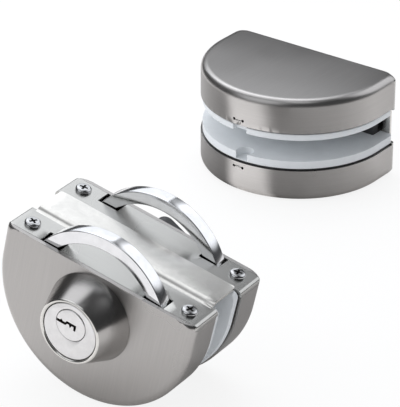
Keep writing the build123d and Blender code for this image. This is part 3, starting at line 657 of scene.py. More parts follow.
def make_materials():
    """Every finish, by name."""
    f = settings().finish
    return {
        # Stainless sheet of the shells: long fine streaks in colour and bump, on the brushing's map
        "brushed": metal("brushed_stainless", f.stainless, 0.3, 0.6, (1500.0, 30.0, 0.035)),
        # Stainless turned on a lathe, the rosette: streaks that run round it
        "turned": metal("turned_stainless", f.stainless, 0.22, 0.5, (1500.0, 60.0, 0.03)),
        # The same steel on inner solids that have no map: soft clouds of a few millimetres
        "inner_stainless": metal("plain_stainless", f.stainless, 0.35),
        # Brushed flanges of the edge plates: streaks along the meeting edge
        "flange": metal("brushed_plate", f.flange, 0.26, 0.5, (1400.0, 30.0, 0.03)),
        # The bridge plates' raised part, blasted and plated: clouds only, a soft shine
        "satin": metal("satin_plate", f.satin, 0.24),
        # The rosette's rolled lip, polished by hand: the same clouds and a sharp shine, with the lighter
        # satin tint as a painted highlight
        "polished": metal("polished_stainless", f.satin, 0.1),
        # Screw heads, tumbled steel with a bright nickel coat
        "screw": metal("polished_screw", f.screw, 0.12),
        # Chromed and buffed crescents: a near mirror, with faint uneven shine
        "chrome": metal("polished_chrome", f.chrome, 0.12),
        # Cylinder body and plug: nickel plated brass, a satin face
        "silver": metal("satin_nickel", f.silver, 0.3),
        # Inner arms, bars and screws: grey zinc plated steel
        "zinc": metal("zinc_plated_steel", f.zinc, 0.35),
        # Pins and bushes: turned brass with slight tarnish in the clouds
        "brass": metal("turned_brass", f.brass, 0.3),
        # Springs: bare drawn wire and strip
        "spring": metal("spring_steel", f.spring, 0.35),
        # Keyway and cross recesses: near-black painted shade with a fine dull grain
        "recess": plain("blackened_recess", f.recess, 0.5, 900.0, 0.2),
        # Zinc castings under dark paint: a fine orange peel of about a millimetre; on the base plates this
        # dark colour is painted shade
        "casting": plain("painted_zinc_casting", f.casting, 0.45, 900.0, 0.2),
        # Moulded pads: smooth pale plastic, clouded a little over several millimetres
        "pad": plain("moulded_pad_plastic", f.pad, 0.35, 120.0, 0.03),
    }


def material_named(name):
    """A finish, made with the others when it is first asked for."""
    stored = bpy.context.scene.get("door_lock_finishes")
    if stored is None:
        stored = {key: value.name for key, value in make_materials().items()}
        bpy.context.scene["door_lock_finishes"] = stored
    return bpy.data.materials[stored[name]]


# Stage

# Soft boxes: name, place, what they aim at, width and height in metres, watts, and whether metal
# reflects them
LAMPS = [
    ("overhead_box", (-0.2, 0.35, 1.3), (0, -0.02, 0.03), (0.9, 0.9), 6.0, False),
    ("side_box", (-0.9, -0.5, 0.7), (0, -0.05, 0.03), (0.6, 0.6), 2.0, False),
    ("back_box", (-0.305, 0.30, 0.405), (-0.255, -0.1, 0.35), (0.46, 0.42), 0.68, True),
]
LAMP_COLOUR = (0.94, 0.96, 1.0)

# What metal sees of the floor round the keeper: azimuth in degrees and brightness
FLOOR_BANDS = [
    (-180, 0.5), (-168, 0.42), (-151, 0.28), (-142, 1.5), (-107, 1.45), (-92, 0.42), (-56, 0.45),
    (-6, 0.62), (41, 1.0), (80, 0.6), (165, 0.6), (180, 0.5),
]
FLOOR_COLOUR = (1.0, 0.975, 0.955, 1)

# How bright the floor is in reflections beyond its lit part, and how much of it glows by itself:
# to every ray, and to the camera
FAR_FLOOR = 0.12
GLOW = 0.25
CAMERA_GLOW = 0.86

# What metal sees of the room: azimuth from +X and elevation in degrees, inner and outer size in
# degrees, and brightness
ROOM = [
    (60.0, 34.0, 20.0, 32.0, 1.15),
    (152.0, 60.0, 16.0, 32.0, 1.35),
    (-112.0, 40.0, 14.0, 32.0, 0.85),
    (92.0, 40.0, 6.0, 14.0, 0.4),
    (-57.0, 76.0, 6.0, 15.0, 1.1),
]
ROOM_COLOUR = (0.95, 0.965, 1.0, 1)

# Where the room grows dark towards the horizon, as heights of a ray, and its least brightness
HORIZON = (0.04, 0.15)
LEAST = 0.06

# What lights dull surfaces, from the left and from the right
DULL_LIGHT = (1.2, 0.12)


def floor_material():
    """Pale paper: white to the camera with a faint shadow, and with darker places in reflections."""
    s = settings().stage
    material = new_material("pale_paper")
    tree = material.node_tree
    path = add_node(tree, "ShaderNodeLightPath").outputs
    place = add_node(tree, "ShaderNodeNewGeometry").outputs["Position"]
    aside = add_node(tree, "ShaderNodeVectorMath", {0: place, 1: s.bands_middle}, operation="SUBTRACT")
    distance = add_node(tree, "ShaderNodeVectorMath", {0: aside}, operation="LENGTH")
    sides = add_node(tree, "ShaderNodeSeparateXYZ", {0: aside}).outputs
    azimuth = add_node(tree, "ShaderNodeMath", {0: sides["Y"], 1: sides["X"]}, operation="ARCTAN2")
    around = add_node(tree, "ShaderNodeMapRange", {"From Min": -pi, "From Max": pi, "Value": azimuth})
    half_bright = ramp(tree, around, [((side + 180) / 360, level / 2) for side, level in FLOOR_BANDS])
    bands = add_node(tree, "ShaderNodeMath", {0: half_bright, 1: 2.0}, operation="MULTIPLY")
    beyond = add_node(tree, "ShaderNodeMapRange",
                      {"From Min": s.bands * 0.75, "From Max": s.bands, "Value": distance},
                      interpolation_type="SMOOTHSTEP")
    level = add_node(tree, "ShaderNodeMix", {"Factor": beyond, "A": bands, "B": 1.0}, data_type="FLOAT")
    lit = add_node(tree, "ShaderNodeMapRange",
                   {"From Min": s.paper * 0.55, "From Max": s.paper, "To Min": 1.0, "To Max": FAR_FLOOR,
                    "Value": distance}, interpolation_type="SMOOTHSTEP")
    level = add_node(tree, "ShaderNodeMath", {0: level, 1: lit}, operation="MULTIPLY")
    level = add_node(tree, "ShaderNodeMix", {"Factor": path["Is Glossy Ray"], "A": 1.0, "B": level},
                     data_type="FLOAT")
    tint = add_node(tree, "ShaderNodeMix",
                    {"Factor": path["Is Glossy Ray"], "A": (1, 1, 1, 1), "B": FLOOR_COLOUR},
                    data_type="RGBA")
    glow = add_node(tree, "ShaderNodeEmission", {"Color": tint, "Strength": level})
    dimmed = add_node(tree, "ShaderNodeVectorMath", {0: tint, 3: level}, operation="SCALE")
    paper = add_node(tree, "ShaderNodeBsdfDiffuse", {"Color": dimmed})
    part = add_node(tree, "ShaderNodeMapRange",
                    {"To Min": GLOW, "To Max": CAMERA_GLOW, "Value": path["Is Camera Ray"]})
    mixed = add_node(tree, "ShaderNodeMixShader", {0: part, 1: paper, 2: glow})
    add_node(tree, "ShaderNodeOutputMaterial", {"Surface": mixed})
    return material


def light_world(scene):
    """A room that reflections see, dark near the horizon, and that lights dull surfaces evenly."""
    world = bpy.data.worlds.new("studio")
    scene.world = world
    world.use_nodes = True
    tree = world.node_tree
    tree.nodes.clear()
    ray = add_node(tree, "ShaderNodeTexCoord").outputs["Generated"]
    parts = add_node(tree, "ShaderNodeSeparateXYZ", {0: ray}).outputs
    total = 0.0
    for azimuth, elevation, inner, outer, brightness in ROOM:
        level = cos(radians(elevation))
        aim = (level * cos(radians(azimuth)), level * sin(radians(azimuth)), sin(radians(elevation)))
        along = add_node(tree, "ShaderNodeVectorMath", {0: ray, 1: aim}, operation="DOT_PRODUCT")
        lit = add_node(tree, "ShaderNodeMapRange",
                       {"From Min": cos(radians(outer)), "From Max": cos(radians(inner)),
                        "To Max": brightness, "Value": along}, interpolation_type="SMOOTHSTEP")
        total = add_node(tree, "ShaderNodeMath", {0: total, 1: lit}, operation="ADD")
    low = add_node(tree, "ShaderNodeMapRange",
                   {"From Min": HORIZON[0], "From Max": HORIZON[1], "Value": parts["Z"]},
                   interpolation_type="SMOOTHSTEP")
    raised = add_node(tree, "ShaderNodeMath", {0: total, 1: low}, operation="MULTIPLY")
    seen = add_node(tree, "ShaderNodeMath", {0: raised, 1: LEAST}, operation="ADD")
    path = add_node(tree, "ShaderNodeLightPath").outputs
    dull = add_node(tree, "ShaderNodeMapRange",
                    {"From Min": -1.0, "To Min": DULL_LIGHT[0], "To Max": DULL_LIGHT[1],
                     "Value": parts["X"]})
    strength = add_node(tree, "ShaderNodeMix", {"Factor": path["Is Glossy Ray"], "A": dull, "B": seen},
                        data_type="FLOAT")
    room = add_node(tree, "ShaderNodeBackground", {"Color": ROOM_COLOUR, "Strength": strength})
    white = add_node(tree, "ShaderNodeBackground", {"Color": (1, 1, 1, 1)})
    mixed = add_node(tree, "ShaderNodeMixShader", {0: path["Is Camera Ray"], 1: room, 2: white})
    add_node(tree, "ShaderNodeOutputWorld", {"Surface": mixed})


def add_lamp(name, place, target, size, power, reflected):
    """Adds a soft box that the camera doesn't see, and that metal reflects where asked."""
    data = bpy.data.lights.new(name, "AREA")
    data.shape = "RECTANGLE"
    data.size, data.size_y = size
    data.energy = power
    data.color = LAMP_COLOUR
    lamp = bpy.data.objects.new(name, data)
    lamp.location = place
    aim = Vector(target) - Vector(place)
    lamp.rotation_euler = aim.to_track_quat("-Z", "Y").to_euler()
    lamp.visible_camera = False
    lamp.visible_glossy = reflected
    bpy.context.scene.collection.objects.link(lamp)


class DOORLOCK_OT_stage(bpy.types.Operator):
    """Make the camera, the floor and the light"""
    bl_idname = "door_lock.stage"
    bl_label = "Stage"

    def execute(self, context):
        s = settings().stage
        data = bpy.data.cameras.new("camera")
        data.lens = s.lens
        data.sensor_width = 36.0
        data.clip_start = 0.05
        data.clip_end = 30.0
        camera = bpy.data.objects.new("camera", data)
        camera.location = s.camera_place
        camera.rotation_euler = (s.camera_pitch, 0, s.camera_heading)
        context.scene.collection.objects.link(camera)
        context.scene.camera = camera

        half = s.floor_half
        corners = [(-half, -half, 0), (half, -half, 0), (half, half, 0), (-half, half, 0)]
        floor = make_object("floor", corners, [(0, 1, 2, 3)])
        floor.data.materials.append(floor_material())
        light_world(context.scene)
        for lamp in LAMPS:
            add_lamp(*lamp)
        context.scene.view_settings.view_transform = "Standard"
        return {"FINISHED"}


class DOORLOCK_OT_inner_pieces(bpy.types.Operator):
    """Give every carried CAD node the material of its slot, but the base plates the dark casting finish as
    painted shade
    """
    bl_idname = "door_lock.inner_pieces"
    bl_label = "Inner pieces"

    def execute(self, context):
        finish_of = {
            "brushed_stainless": "inner_stainless", "satin_plate": "satin", "chrome": "chrome",
            "pad_rubber": "pad", "die_cast": "casting", "zinc_steel": "zinc", "silver_face": "silver",
            "brass": "brass", "spring_steel": "spring",
        }
        for part in frame["record"]["subparts"]:
            obj = frame["nodes"][part["node"]]
            # The base plates are zinc steel; their dark casting colour is painted shade, so the slots and
            # gaps that show them read black
            dark = part["node"].endswith("base_plate")
            obj.data.materials.clear()
            finish = "casting" if dark else finish_of[part["material_slot"]]
            obj.data.materials.append(material_named(finish))
        return {"FINISHED"}


# Shells

def d_columns():
    """Places round the D outline from top right to top left: a base Z, and the way outward in X and Z."""
    c = settings().cover
    corner_part = 0.9 * c.side_top
    side = [corner_part * (1 - sin(radians(angle))) for angle in range(90, 0, -15)]
    side += [c.side_top, -6 * MM, -11 * MM]
    columns = [(z, 1.0, 0.0) for z in side]
    for step in range(c.around + 1):
        angle = pi * step / c.around
        columns.append((-c.straight, cos(angle), -sin(angle)))
    columns += [(z, -1.0, 0.0) for z in reversed(side)]
    return columns


def d_row(columns, inset, y, corner, drop=0.0):
    """A closed row of points at one Y, with rounded top corners: round the outline, back along its top."""
    c = settings().cover
    half = c.half_width - inset
    row = []
    for base_z, out_x, out_z in columns:
        z = base_z + half * out_z if out_z else base_z - drop
        reach = min(corner, max(0.0, z + drop + corner))
        row.append(((half - corner + sqrt(corner ** 2 - reach ** 2)) * out_x, y, z))
    for step in range(1, c.flat_steps):
        row.append((half * (2 * step / c.flat_steps - 1), y, -drop))
    return row


def make_shell(name, mouth, hole=None):
    """A drawn shell in the rear half: a wall, a rounded rim, a face and a lip along the flat edge."""
    c = settings().cover
    lip_steps = 4
    rim_steps = 7
    mouth_band = 3 * MM
    wall_middle = 18 * MM
    face_inset = 0.8 * MM
    columns = d_columns()
    start = c.face - c.rim_radius
    knee = asin((c.lip - start) / c.rim_radius)
    levels = [(0.0, y) for y in (mouth, mouth + mouth_band, wall_middle, start)]
    lip_row = len(levels) + lip_steps - 1
    bends = [knee * step / lip_steps for step in range(1, lip_steps + 1)]
    bends += [knee + (pi / 2 - knee) * step / rim_steps for step in range(1, rim_steps + 1)]
    levels += [(c.rim_radius * (1 - cos(bend)), start + c.rim_radius * sin(bend)) for bend in bends]
    points = []
    for inset, y in levels:
        rise = max(0.0, y - start) / c.rim_radius
        points += d_row(columns, inset, y, c.corner * rise)
    points += d_row(columns, c.rim_radius + face_inset, c.face, c.corner - face_inset, face_inset)

    # Up to the lip's row, the flat edge and the sides above the wall's top are left open
    free = sum(1 for column in columns if column[0] > c.side_top and column[1] == 1)
    across = len(columns) + c.flat_steps - 1
    rows = len(levels) + 1
    faces = []
    for row in range(rows - 1):
        for column in range(across):
            on_wall = free <= column < len(columns) - 1 - free
            if row >= lip_row or on_wall:
                first = row * across + column
                after = row * across + (column + 1) % across
                faces.append((first, after, after + across, first + across))
    ring = [(rows - 1) * across + column for column in range(across)]
    if hole:
        hole_radius, hole_z = hole
        for radius in (hole_radius + c.hole_ring, hole_radius):
            first = len(points)
            for corner in ring:
                x, y, z = points[corner]
                away = hypot(x, z - hole_z)
                points.append((radius * x / away, y, hole_z + radius * (z - hole_z) / away))
            for column in range(across):
                after = (column + 1) % across
                faces.append((ring[column], ring[after], first + after, first + column))
            ring = [first + column for column in range(across)]
    else:
        faces.append(tuple(ring))
    shell = make_object(name, points, faces)
    thicken(shell, c.sheet)
    round_edges(shell, c.edge_round)
    return bake(shell)


def snap_cutters(mouth):
    """Cutters for the two relief holes of a shell's snap tab and the slit between them."""
    c = settings().cover
    hole_y = mouth + c.hole_rise
    low = -c.straight - c.half_width - PAST
    high = low + 4 * MM
    left = c.snap_x - c.snap_half
    right = c.snap_x + c.snap_half
    cutters = [box((left, hole_y - c.slit / 2, low), (right, hole_y + c.slit / 2, high))]
    for x in (left, right):
        cutters.append(rod(c.hole_radius, (x, hole_y, (low + high) / 2), (0, 0, 1), high - low))
    return cutters


def snap_dash(mouth):
    """The small raised rib pressed in a snap tab, beside its slit."""
    c = settings().cover
    radius = 0.4 * MM
    stretch = 5.0
    sunk = 0.1 * MM
    profile = [(radius * sin(radians(angle)), -radius * cos(radians(angle))) for angle in range(12, 180, 13)]
    dash = lathe("dash", profile, 24)
    place = (c.snap_x, mouth + c.hole_rise - radius, -c.straight - c.half_width + sunk)
    return move_mesh(dash, Matrix.Translation(place) @ Matrix.Diagonal((stretch, 1, 1, 1)))


def shell_grain(place, normal, centre):
    """The brushing of a shell: down its face, and round its wall."""
    if abs(normal.y) > 0.7:
        return (place.x, place.z)
    c = settings().cover
    around = atan2(max(0.0, -(centre.z + c.straight)), centre.x)
    if centre.z < -c.straight:
        around = atan2(-(place.z + c.straight), place.x)
    along = c.half_width * around - min(0.0, max(place.z, -c.straight)) * (1 if centre.x > 0 else -1)
    return (place.y, along)


def finish_shell(shell, mouth, holes):
    """Cuts a shell's openings and gives it its shading and its brushing."""
    cut(shell, snap_cutters(mouth) + holes)
    cut(shell, [snap_dash(mouth)], "UNION")
    shade(shell, 40)
    weighted = shell.modifiers.new("Normals", "WEIGHTED_NORMAL")
    weighted.keep_sharp = True
    bake(shell)
    return brush_map(shell, shell_grain)


class DOORLOCK_OT_shells(bpy.types.Operator):
    """Build the four drawn shells"""
    bl_idname = "door_lock.shells"
    bl_label = "Shells"

    def execute(self, context):
        cover = settings().cover
        cylinder = settings().cylinder
        handle = settings().turn
        key_hole = (cylinder.body_radius + cylinder.shell_gap, cylinder.axis_z)
        stem_hole = (handle.stem_hole, handle.axis_z)
        shells = (
            ("front_shell", "front_cover", cover.mouth, key_hole, cylinder.screw_x),
            ("rear_shell", "rear_cover", cover.rear_mouth, stem_hole, handle.screw_x),
            ("keeper_upper_shell", "keeper_upper_cover", cover.mouth, None, None),
            ("keeper_lower_shell", "keeper_lower_cover", cover.rear_mouth, None, None),
        )
        for (name, node, mouth, hole, screw_x), (place, body) in zip(shells, halves()):
            shell = make_shell(name, mouth, hole)
            holes = []
            if hole:
                holes = [rod(cover.screw_hole, (x, cover.face, hole[1]), (0, 1, 0), 8 * MM)
                         for x in (-screw_x, screw_x)]
            finish_shell(shell, mouth, holes)
            dress(move_mesh(shell, place), body, node, "brushed")
        return {"FINISHED"}


# Edge plates

def plate_columns():
    """X and Z across a plate from left to right, with both ends folded down."""
    p = settings().plate
    flat = [7.5 * MM, 15 * MM, p.slot_inner, 28.5 * MM, p.slot_outer, 38.5 * MM, 43.5 * MM, p.bridge_end]
    centre = (p.end - p.fold_radius, -p.fold_radius)
    right = [(x, 0.0) for x in flat]
    right += arc_points(centre, p.fold_radius, 90, 0, 8)
    right.append((p.end, -p.fold_depth))
    return [(-x, z) for x, z in reversed(right)] + [(0.0, 0.0)] + right


def rim_limit(y, z):
    """How far a plate reaches in X at one Y and Z, inside the shells' rounded rim and corners."""
    c = settings().cover
    rise = max(0.0, y - c.face + c.rim_radius)
    reach = sqrt((c.rim_radius - settings().plate.rim_gap) ** 2 - rise ** 2)
    corner = c.corner * rise / c.rim_radius
    past = min(corner, max(0.0, z + corner))
    return c.half_width - c.rim_radius + reach - corner + sqrt(corner ** 2 - past ** 2)


def corner_limit(y, z):
    """How far the plateau reaches in X at one Y, with rounded rear corners."""
    p = settings().plate
    past = max(0.0, p.bridge_corner - p.bridge_rear - y)
    return p.bridge_end - p.bridge_corner + sqrt(max(0.0, p.bridge_corner ** 2 - past ** 2))


def add_patch(points, faces, columns, rows, limit, keep=None):
    """Adds a grid of faces to a sheet; rows are (y, z) and columns (x, z)."""
    start = len(points)
    for y, low in rows:
        for x, z in columns:
            reach = limit(y, z)
            points.append((max(-reach, min(reach, x)), y, z + low))
    for face in grid_faces(len(columns), len(rows), keep):
        faces.append(tuple(start + corner for corner in face))


def flange_patch(points, faces, near):
    """Adds a flange with folded ends and two open slots."""
    c = settings().cover
    p = settings().plate
    columns = plate_columns()
    start = c.face - c.rim_radius
    levels = [near, 14 * MM, p.slot_near, 22 * MM, start]
    levels += [start + part * (p.far - start) for part in (0.3, 0.55, 0.75, 0.9, 1.0)]

    def keep(column, row):
        x = abs(columns[column][0] + columns[column + 1][0]) / 2
        return levels[row] < p.slot_near - NEARLY or not p.slot_inner < x < p.slot_outer

    add_patch(points, faces, columns, [(y, 0.0) for y in levels], rim_limit, keep)


def finish_plate(name, points, faces, raised=0):
    """Makes a sheet into a plate with thickness, screw holes, rounded edges and its brushing."""
    p = settings().plate
    s = settings().screw
    plate = make_object(name, points, faces)
    plate.data.materials.append(material_named("flange"))
    if raised:
        plate.data.materials.append(material_named("satin"))
    for polygon in plate.data.polygons[:raised]:
        polygon.material_index = 1
    join_points(plate)
    thicken(plate, p.thickness)
    round_edges(plate, p.edge_round)
    cut(plate, [rod(s.shank_radius + p.screw_gap, (x, s.spacing_y, 0), (0, 0, 1), 6 * MM)
                for x in (-s.spacing_x, s.spacing_x)])
    return brush_map(shade(plate, 40), lambda place, normal, centre: (place.y, place.x))


def make_edge_plate(name):
    """The plain edge plate of a rear half."""
    points = []
    faces = []
    flange_patch(points, faces, settings().plate.rear_near)
    return finish_plate(name, points, faces)


def make_bridge_plate(name):
    """The stepped edge plate of a front half, drawn in the rear half: flange, step and plateau."""
    p = settings().plate
    slope = atan2(p.bridge_rise, p.bridge_foot - p.bridge_step)
    half = p.thickness / 2
    tangent = p.bend_radius * sin(slope / 2) / cos(slope / 2)
    foot = (p.bridge_foot + tangent, p.bend_radius - half)
    crest = (p.bridge_step - tangent, p.bridge_rise - p.bend_radius - half)
    level = 90 - degrees(slope)
    step = arc_points(crest, p.bend_radius + half, 90, level, 6)
    step += arc_points(foot, p.bend_radius - half, 180 + level, 270, 6)
    corner_rows = [p.bridge_corner * part for part in (0.0, 0.04, 1 / 6, 0.4, 2 / 3, 1.0)]
    rows = [(y - p.bridge_rear, p.bridge_rise) for y in corner_rows] + [(0.0, p.bridge_rise)] + step
    columns = plate_columns()
    inner = [column for column in columns if abs(column[0]) < p.bridge_end + NEARLY]
    right = [column for column in columns if column[0] > p.bridge_end - NEARLY]
    left = [column for column in columns if column[0] < -p.bridge_end + NEARLY]
    points = []
    faces = []
    add_patch(points, faces, inner, rows, corner_limit)
    raised = len(faces)
    flange_patch(points, faces, foot[0])
    ears = [(p.bridge_foot, 0.0), (foot[0], 0.0)]
    add_patch(points, faces, right, ears, rim_limit)
    add_patch(points, faces, left, ears, rim_limit)
    return finish_plate(name, points, faces, raised)


class DOORLOCK_OT_plates(bpy.types.Operator):
    """Build the four plates that close the flat edges"""
    bl_idname = "door_lock.plates"
    bl_label = "Edge plates"

    def execute(self, context):
        plates = (
            ("bridge_sheet", "bridge_plate", make_bridge_plate),
            ("rear_edge_sheet", "rear_edge_plate", make_edge_plate),
            ("keeper_bridge_sheet", "keeper_bridge_plate", make_bridge_plate),
            ("keeper_lower_edge_sheet", "keeper_lower_edge_plate", make_edge_plate),
        )
        for (name, node, make), (place, body) in zip(plates, halves()):
            dress(move_mesh(make(name), place), body, node)
        return {"FINISHED"}


# Crescent bolts

def crescent_rule():
    """The tree that sweeps a rounded bar along an arc about the bolts' axis."""
    tree = new_rule("crescent", {
        "Radius": "Float", "Width": "Float", "Thickness": "Float", "Edge round": "Float",
        "Start": "Float", "Sweep": "Float", "Steps": "Int", "Middle": "Vector", "Material": "Material",
    })
    given = add_node(tree, "NodeGroupInput").outputs
    arc = add_node(tree, "GeometryNodeCurveArc", {
        "Resolution": given["Steps"], "Radius": given["Radius"], "Start Angle": given["Start"],
        "Sweep Angle": given["Sweep"]}, mode="RADIUS")
    upright = add_node(tree, "GeometryNodeSetCurveNormal", {"Curve": arc}, mode="Z_UP")
    section = add_node(tree, "GeometryNodeCurvePrimitiveQuadrilateral", {
        "Width": given["Width"], "Height": given["Thickness"]})
    rounded = add_node(tree, "GeometryNodeFilletCurve", {
        "Curve": section, "Radius": given["Edge round"], "Count": 4}, mode="POLY")
    bar = add_node(tree, "GeometryNodeCurveToMesh", {
        "Curve": upright, "Profile Curve": rounded, "Fill Caps": True})
    stood = add_node(tree, "GeometryNodeTransform", {
        "Geometry": bar, "Translation": given["Middle"], "Rotation": (pi / 2, 0, 0)})
    return close_rule(tree, stood, given["Material"])


def lap_cutter():
    """The cutter that thins a crescent's driven end for its arm."""
    b = settings().bolt
    steps = 5
    sweep = b.arm_end + radians(2) - b.lap_start
    turns = [b.lap_start + sweep * step / steps for step in range(steps + 1)]
    outer = [((b.outer + PAST) * sin(angle), b.axis_z + (b.outer + PAST) * cos(angle)) for angle in turns]
    inner = [((b.inner - PAST) * sin(angle), b.axis_z + (b.inner - PAST) * cos(angle)) for angle in turns]
    return prism("cutter", outer + inner[::-1], b.near - PAST, b.near + b.lap)


class DOORLOCK_OT_bolts(bpy.types.Operator):
    """Build the two chromed crescent bolts"""
    bl_idname = "door_lock.bolts"
    bl_label = "Crescent bolts"

    def execute(self, context):
        b = settings().bolt
        tree = crescent_rule()
        values = {
            "Radius": (b.inner + b.outer) / 2, "Width": b.outer - b.inner, "Thickness": b.far - b.near,
            "Edge round": b.edge_round, "Start": pi / 2 - b.arm_end, "Sweep": b.arm_end - b.free_end,
            "Steps": b.steps, "Middle": (0, (b.near + b.far) / 2, b.axis_z),
            "Material": material_named("chrome"),
        }
        for half, place in (("front", lock_frame() @ mirrored()), ("rear", lock_frame())):
            crescent = join_points(grow(half + "_crescent", tree, values), closed=True)
            cut(crescent, [lap_cutter()])
            shade(crescent, 30)
            dress(move_mesh(crescent, place), "bolt_set", half + "_crescent_bolt", "chrome")
        return {"FINISHED"}


# Screws

def make_screw():
    """One pan head screw standing on the edge plate, with a cross recess."""
    s = settings().screw
    point = 0.8 * MM
    edge = 0.15 * MM
    crown = 0.03 * MM
    above = 0.2 * MM
    taper = 0.45
    shoulder = s.head_height - s.head_round
    profile = [(s.shank_radius * 0.7, -s.shank_length), (s.shank_radius, -s.shank_length + point),
               (s.shank_radius, 0.0), (s.head_radius - edge, 0.0), (s.head_radius, edge)]
    profile += arc_points((s.head_radius - s.head_round, shoulder), s.head_round, 0, 80, 7)
    profile += [(1.6 * MM, s.head_height), (0.6 * MM, s.head_height + crown)]
    screw = move_mesh(lathe("screw", profile, 48), Matrix.Rotation(pi / 2, 4, "X"))
    half = s.wing_width / 2
    cross = []
    for quarter in range(4):
        turned = Matrix.Rotation(-quarter * pi / 2, 2)
        corners = ((-half, s.wing), (half, s.wing), (half, half))
        cross += [tuple(turned @ Vector(corner)) for corner in corners]
    top = [(x, y, s.head_height + above) for x, y in cross]
    bottom = [(taper * x, taper * y, s.head_height - s.recess) for x, y in cross]
    return shade(cut(screw, [loft("recess", top, bottom)]), 35)


def screw_rule():
    """The tree that stands a screw at each corner of a grid, each turned its own way."""
    tree = new_rule("edge_screws", {
        "Screw": "Object", "Size X": "Float", "Size Y": "Float", "Seed": "Int", "Material": "Material",
    })
    given = add_node(tree, "NodeGroupInput").outputs
    corners = add_node(tree, "GeometryNodeMeshGrid", {
        "Size X": given["Size X"], "Size Y": given["Size Y"], "Vertices X": 2, "Vertices Y": 2})
    source = add_node(tree, "GeometryNodeObjectInfo", {"Object": given["Screw"]}).outputs["Geometry"]
    angle = add_node(tree, "FunctionNodeRandomValue", {"Seed": given["Seed"], "Min": 0.0, "Max": pi / 2},
                     data_type="FLOAT")
    turned = add_node(tree, "ShaderNodeCombineXYZ", {"Z": angle})
    placed = add_node(tree, "GeometryNodeInstanceOnPoints", {
        "Points": corners, "Instance": source, "Rotation": turned})
    return close_rule(tree, placed, given["Material"])


class DOORLOCK_OT_screws(bpy.types.Operator):
    """Build the four edge screws of both units"""
    bl_idname = "door_lock.screws"
    bl_label = "Edge screws"

    def execute(self, context):
        s = settings().screw
        screw = make_screw()
        tree = screw_rule()

        def in_shaded_recess(place):
            """Whether a face's centre lies in the cross recess of one of the four screws, which gets painted
            shade.
            """
            away = hypot(abs(place.x) - s.spacing_x, abs(place.y) - s.spacing_y)
            return away < s.wing and 0.1 * MM < place.z < s.head_height - 0.08 * MM

        units = (("edge_screw_set", lock_frame(), "lock_case", "edge_screws", s.seed),
                 ("keeper_edge_screw_set", keeper_frame(), "keeper", "keeper_edge_screws", s.seed + 1))
        for name, place, body, node, seed in units:
            values = {"Screw": screw, "Size X": 2 * s.spacing_x, "Size Y": 2 * s.spacing_y, "Seed": seed,
                      "Material": material_named("screw")}
            screws = shade(grow(name, tree, values), 35)
            # The cross recesses get the near-black painted shade
            two_finishes(screws, "screw", "recess", in_shaded_recess)
            dress(move_mesh(screws, place), body, node)
        discard(screw)
        return {"FINISHED"}


# Key cylinder

def make_rosette():
    """The conical rosette with its rolled lip."""
    c = settings().cylinder
    edge = 0.1 * MM
    near = settings().cover.face
    far = near + c.height
    bead = (c.top_radius - c.lip, far - c.lip)
    profile = [(c.bore, near), (c.base_radius - edge, near), (c.base_radius, near + edge),
               (c.base_radius, near + c.foot - edge)]
    profile += arc_points(bead, c.lip, 18, 180, 18)
    rosette = lathe("rosette_cone", profile, 128, ring=True)
    # The lip gets the polished finish: its sharper shine is real, its lighter tint a painted highlight
    two_finishes(rosette, "turned", "polished", lambda place: place.y > far - 1.1 * c.lip)
    place = Matrix.Translation((0, 0, c.axis_z))
    return brush_map(shade(move_mesh(rosette, place), 28), round_grain(c.axis_z))


def pin_cutters(near, far):
    """Cutters for the row of pin chambers, between two distances from the plug's axis."""
    c = settings().cylinder
    axis_z = settings().bolt.axis_z
    places = [(-(near + far) / 2, c.pin_first - c.pin_pitch * pin, axis_z) for pin in range(c.pins)]
    return [rod(c.pin_radius, place, (1, 0, 0), far - near) for place in places]


def rounded_face(radius, face):
    """The rounded edge of a turned piece's face, as (radius, y) points."""
    edge = settings().cylinder.edge_round
    return arc_points((radius - edge, face - edge), edge, 0, 90, 4)


def make_cylinder_body():
    """The fixed body, with its bore above its own centre."""
    c = settings().cylinder
    profile = [(c.body_radius, c.body_near), (c.body_radius, c.clip_near), (c.clip_inner, c.clip_near),
               (c.clip_inner, c.clip_far), (c.body_radius, c.clip_far)]
    profile += rounded_face(c.body_radius, c.body_face)
    body = move_mesh(lathe("cylinder_disc", profile, 96), Matrix.Translation((0, 0, c.axis_z)))
    depth = 4 * (c.body_face - c.body_near)
    place = (0, c.body_near, settings().bolt.axis_z)
    cut(body, [rod(c.plug_radius + c.plug_gap, place, (0, 1, 0), depth, 96)])
    round_edges(body, 0.15 * MM, 2, 50)
    bake(body)
    cut(body, pin_cutters(c.plug_radius - PAST, c.chamber_end))
    return shade(body, 30)


def make_plug():
    """The turning plug, with its stepped keyway and the slot for its tail blade."""
    c = settings().cylinder
    axis_z = settings().bolt.axis_z
    profile = [(c.plug_radius, c.plug_near), *rounded_face(c.plug_radius, c.plug_face)]
    plug = lathe("plug_disc", profile, 96)

    # The keyway's outline in millimetres, clockwise from its lower left corner
    outline = [(-8.3, -1.2), (-8.3, 0.2), (-5.8, 0.2), (-5.1, 1.0), (-4.3, 0.2), (-2.9, 0.2),
               (-2.3, 1.3), (3.0, 1.3), (3.0, -1.8), (1.9, -1.8), (1.7, 0.0), (0.6, 0.0),
               (-0.1, -1.6), (-0.9, 0.0), (-1.8, 0.0), (-2.6, -1.2)]
    keyway = prism("cutter", [(x * MM, z * MM) for x, z in outline], c.keyway_near, c.plug_face + PAST)
    blade = 1 * MM
    tail = box((-c.tail_half, c.plug_near - PAST, -blade), (c.tail_half, c.tail_far, blade))
    cut(plug, [keyway, tail])
    round_edges(plug, 0.1 * MM, 2, 50)
    bake(plug)
    move_mesh(plug, Matrix.Translation((0, 0, axis_z)))
    cut(plug, pin_cutters(c.pin_tip, c.plug_radius + PAST))

    # What lies inside the plug's wall and below its face is the keyway, which gets near-black painted shade
    wall = c.plug_radius - 0.4 * MM
    deep = c.plug_face - 0.3 * MM
    two_finishes(plug, "silver", "recess",
                 lambda place: place.y < deep and hypot(place.x, place.z - axis_z) < wall)
    return shade(plug, 30)


